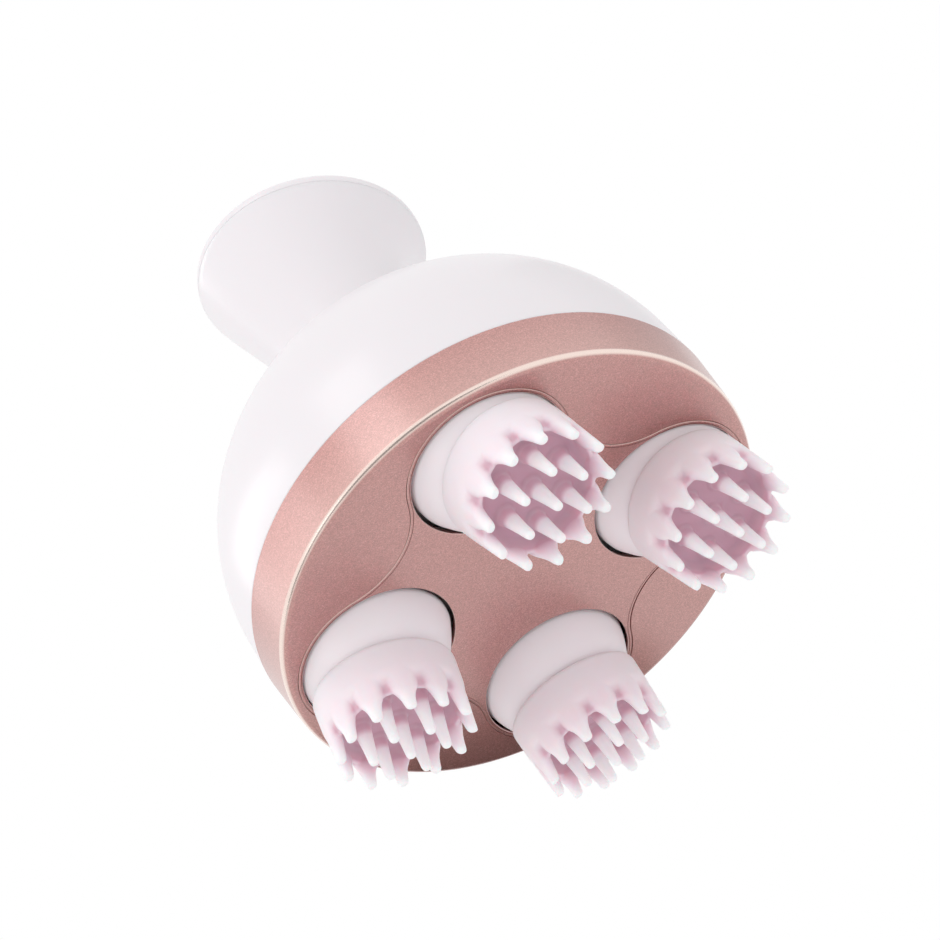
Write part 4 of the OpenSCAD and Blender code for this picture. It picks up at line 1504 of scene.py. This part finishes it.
@dataclass(frozen=True)
class Softbox:
    """A soft lamp that faces the object. Azimuth and elevation are in degrees, lengths in metres.

    A lamp of which only the shine counts draws highlights on glossy pieces, and leaves matt
    ones as they are.
    """

    name: str
    azimuth: float
    elevation: float
    distance: float
    width: float
    height: float
    watts: float
    shine_only: bool = False

    def light(self, target: Vector) -> None:
        """Set up the lamp.

        Args:
            target: The point that it faces.
        """
        lamp = bpy.data.lights.new(self.name, "AREA")
        lamp.shape = "RECTANGLE"
        lamp.size, lamp.size_y = self.width, self.height
        lamp.energy = self.watts
        holder = bpy.data.objects.new(self.name, lamp)
        holder.visible_diffuse = not self.shine_only
        bpy.context.scene.collection.objects.link(holder)
        a, e = math.radians(self.azimuth), math.radians(self.elevation)
        way = Vector((math.cos(e) * math.cos(a), math.cos(e) * math.sin(a), math.sin(e)))
        holder.location = target + way * self.distance
        holder.rotation_euler = way.to_track_quat("Z", "Y").to_euler()


def flat_card(name: str, paint: str, place: Matrix) -> tuple[Piece, Wiring]:
    """Make a square card of one metre, with a blank material.

    Args:
        name: Name of the card.
        paint: Name of its material.
        place: Where it goes, with its size.

    Returns:
        The card, and the wiring of its material.
    """
    clear_selection()
    bpy.ops.mesh.primitive_plane_add(size=1.0)
    card = bpy.context.object
    card.name = name
    card.data.transform(place)
    material = bpy.data.materials.new(paint)
    card.data.materials.append(material)
    return card, blank_sheet(material)


@dataclass(frozen=True)
class Flag:
    """A dark card that only the glossy pieces mirror. Angles are in degrees, lengths in metres."""

    name: str
    azimuth: float
    distance: float
    height: float
    tilt: float
    depth: float
    width: float
    darkness: float
    lift: float = 0.001

    def lay(self) -> None:
        """Put the card in its place."""
        place = turn_by(self.azimuth, "Z")
        place = place @ Matrix.Translation((self.distance, 0.0, self.height + self.lift))
        place = place @ turn_by(self.tilt, "Y")
        place = place @ Matrix.Diagonal((self.depth, self.width, 1.0, 1.0))
        card, sheet = flat_card(self.name, self.name, place)
        black = sheet.add("BsdfDiffuse", {"Color": (0.0, 0.0, 0.0, 1.0)})
        clear = sheet.add("BsdfTransparent")
        dark = sheet.maths("MULTIPLY", sheet.add("LightPath").outputs["Is Glossy Ray"],
                           self.darkness)
        seen = sheet.add("MixShader", {0: dark, 1: clear.outputs[0], 2: black.outputs[0]})
        sheet.add("OutputMaterial", {"Surface": seen.outputs[0]})


@dataclass
class Studio:
    """Camera, lamps, pale surroundings, floor and flags."""

    # Camera axes in the object's frame, as right, down and forward, and its place in metres
    right: Point3 = (0.8612, 0.21723, -0.45951)
    down: Point3 = (-0.47981, 0.64572, -0.59399)
    forward: Point3 = (0.16768, 0.73202, 0.66033)
    place: Point3 = (-0.09554, -0.43372, -0.33718)
    lens: float = 112.96
    sensor: float = 36.0
    target: Point3 = (0.0, 0.0, 0.06)
    ambient: float = 0.94
    clip: Point = (0.01, 50.0)
    floor_size: float = 6.0
    floor_tone: float = 0.9
    softboxes: tuple[Softbox, ...] = (
        Softbox("left_strip", 176.0, 42.0, 1.0, 0.8, 0.1, 0.85, True),
        Softbox("key_softbox", -115.0, 40.0, 1.1, 0.4, 0.4, 0.9),
        Softbox("low_softbox", -150.0, -12.0, 1.1, 0.5, 0.5, 1.3),
    )
    flags: tuple[Flag, ...] = (
        Flag("left_flag", -152.0, 0.118, 0.0, 0.0, 0.055, 0.1, 0.8),
        Flag("front_flag", -110.0, 0.138, 0.0, 0.0, 0.115, 0.13, 0.8),
        Flag("far_flag", 104.0, 0.1, 0.0, 0.0, 0.085, 0.09, 1.0),
        Flag("right_flag", 12.0, 0.36, 0.34, 48.0, 0.3, 0.3, 0.3),
    )

    def camera(self) -> None:
        """Set up the camera at the photograph's viewing angle."""
        data = bpy.data.cameras.new("photo_camera")
        data.lens, data.sensor_width = self.lens, self.sensor
        data.clip_start, data.clip_end = self.clip
        camera = bpy.data.objects.new("photo_camera", data)
        bpy.context.scene.collection.objects.link(camera)
        right, down, forward = Vector(self.right), Vector(self.down), Vector(self.forward)
        turn = Matrix((right, -down, -forward)).transposed().to_quaternion().to_matrix().to_4x4()
        camera.matrix_world = Matrix.Translation(self.place) @ turn
        bpy.context.scene.camera = camera

    def world(self) -> None:
        """Make the surroundings: white where they are seen, softer where they light the object."""
        world = bpy.data.worlds.new("white_surroundings")
        bpy.context.scene.world = world
        sheet = blank_sheet(world)
        path = sheet.add("LightPath")
        seen = sheet.maths("MAXIMUM", path.outputs["Is Camera Ray"], path.outputs["Is Glossy Ray"])
        seen = sheet.maths("MAXIMUM", seen, path.outputs["Is Transmission Ray"])
        more = sheet.maths("MULTIPLY", seen, 1.0 - self.ambient)
        strength = sheet.maths("ADD", more, self.ambient)
        light = sheet.add("Background", {"Color": WHITE, "Strength": strength})
        sheet.add("OutputWorld", {"Surface": light.outputs[0]})

    def floor(self) -> None:
        """Lay a white floor that is seen from above only, and lets light from below through."""
        size = self.floor_size
        floor, sheet = flat_card("floor", "white_floor", Matrix.Diagonal((size, size, 1.0, 1.0)))
        path = sheet.add("LightPath")
        mirrored = sheet.maths("MAXIMUM", path.outputs["Is Glossy Ray"],
                               path.outputs["Is Transmission Ray"])
        above = sheet.maths("SUBTRACT", 1.0, sheet.add("NewGeometry").outputs["Backfacing"])
        clear = sheet.add("BsdfTransparent")
        matt = sheet.add("BsdfDiffuse", {"Color": (*[self.floor_tone] * 3, 1.0)})
        white = sheet.add("Emission", {"Color": WHITE, "Strength": 1.0})
        seen = sheet.add("MixShader", {
            0: sheet.maths("MULTIPLY", path.outputs["Is Camera Ray"], above),
            1: clear.outputs[0], 2: matt.outputs[0]})
        mixed = sheet.add("MixShader", {
            0: sheet.maths("MULTIPLY", mirrored, above), 1: seen.outputs[0], 2: white.outputs[0]})
        sheet.add("OutputMaterial", {"Surface": mixed.outputs[0]})

    def build(self) -> None:
        """Set up the camera, the lamps, the surroundings, the floor and the flags."""
        scene = bpy.context.scene
        scene.view_settings.view_transform = "Standard"
        self.camera()
        self.world()
        self.floor()
        for box in self.softboxes:
            box.light(Vector(self.target))
        for flag in self.flags:
            flag.lay()


def main() -> None:
    """Load the frame, build the sub-assemblies in order and report each piece."""
    logging.basicConfig(level=logging.INFO, format="%(message)s")
    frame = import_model()
    Studio().build()
    layout = Layout.from_frame(frame)
    paints = Paintbox()
    InnerWorks(frame, paints).build()
    for assembly in (Face, Dome, Knob, HeadBase, FingerCap):
        assembly(layout, paints).build()


if __name__ == "__main__":
    main()
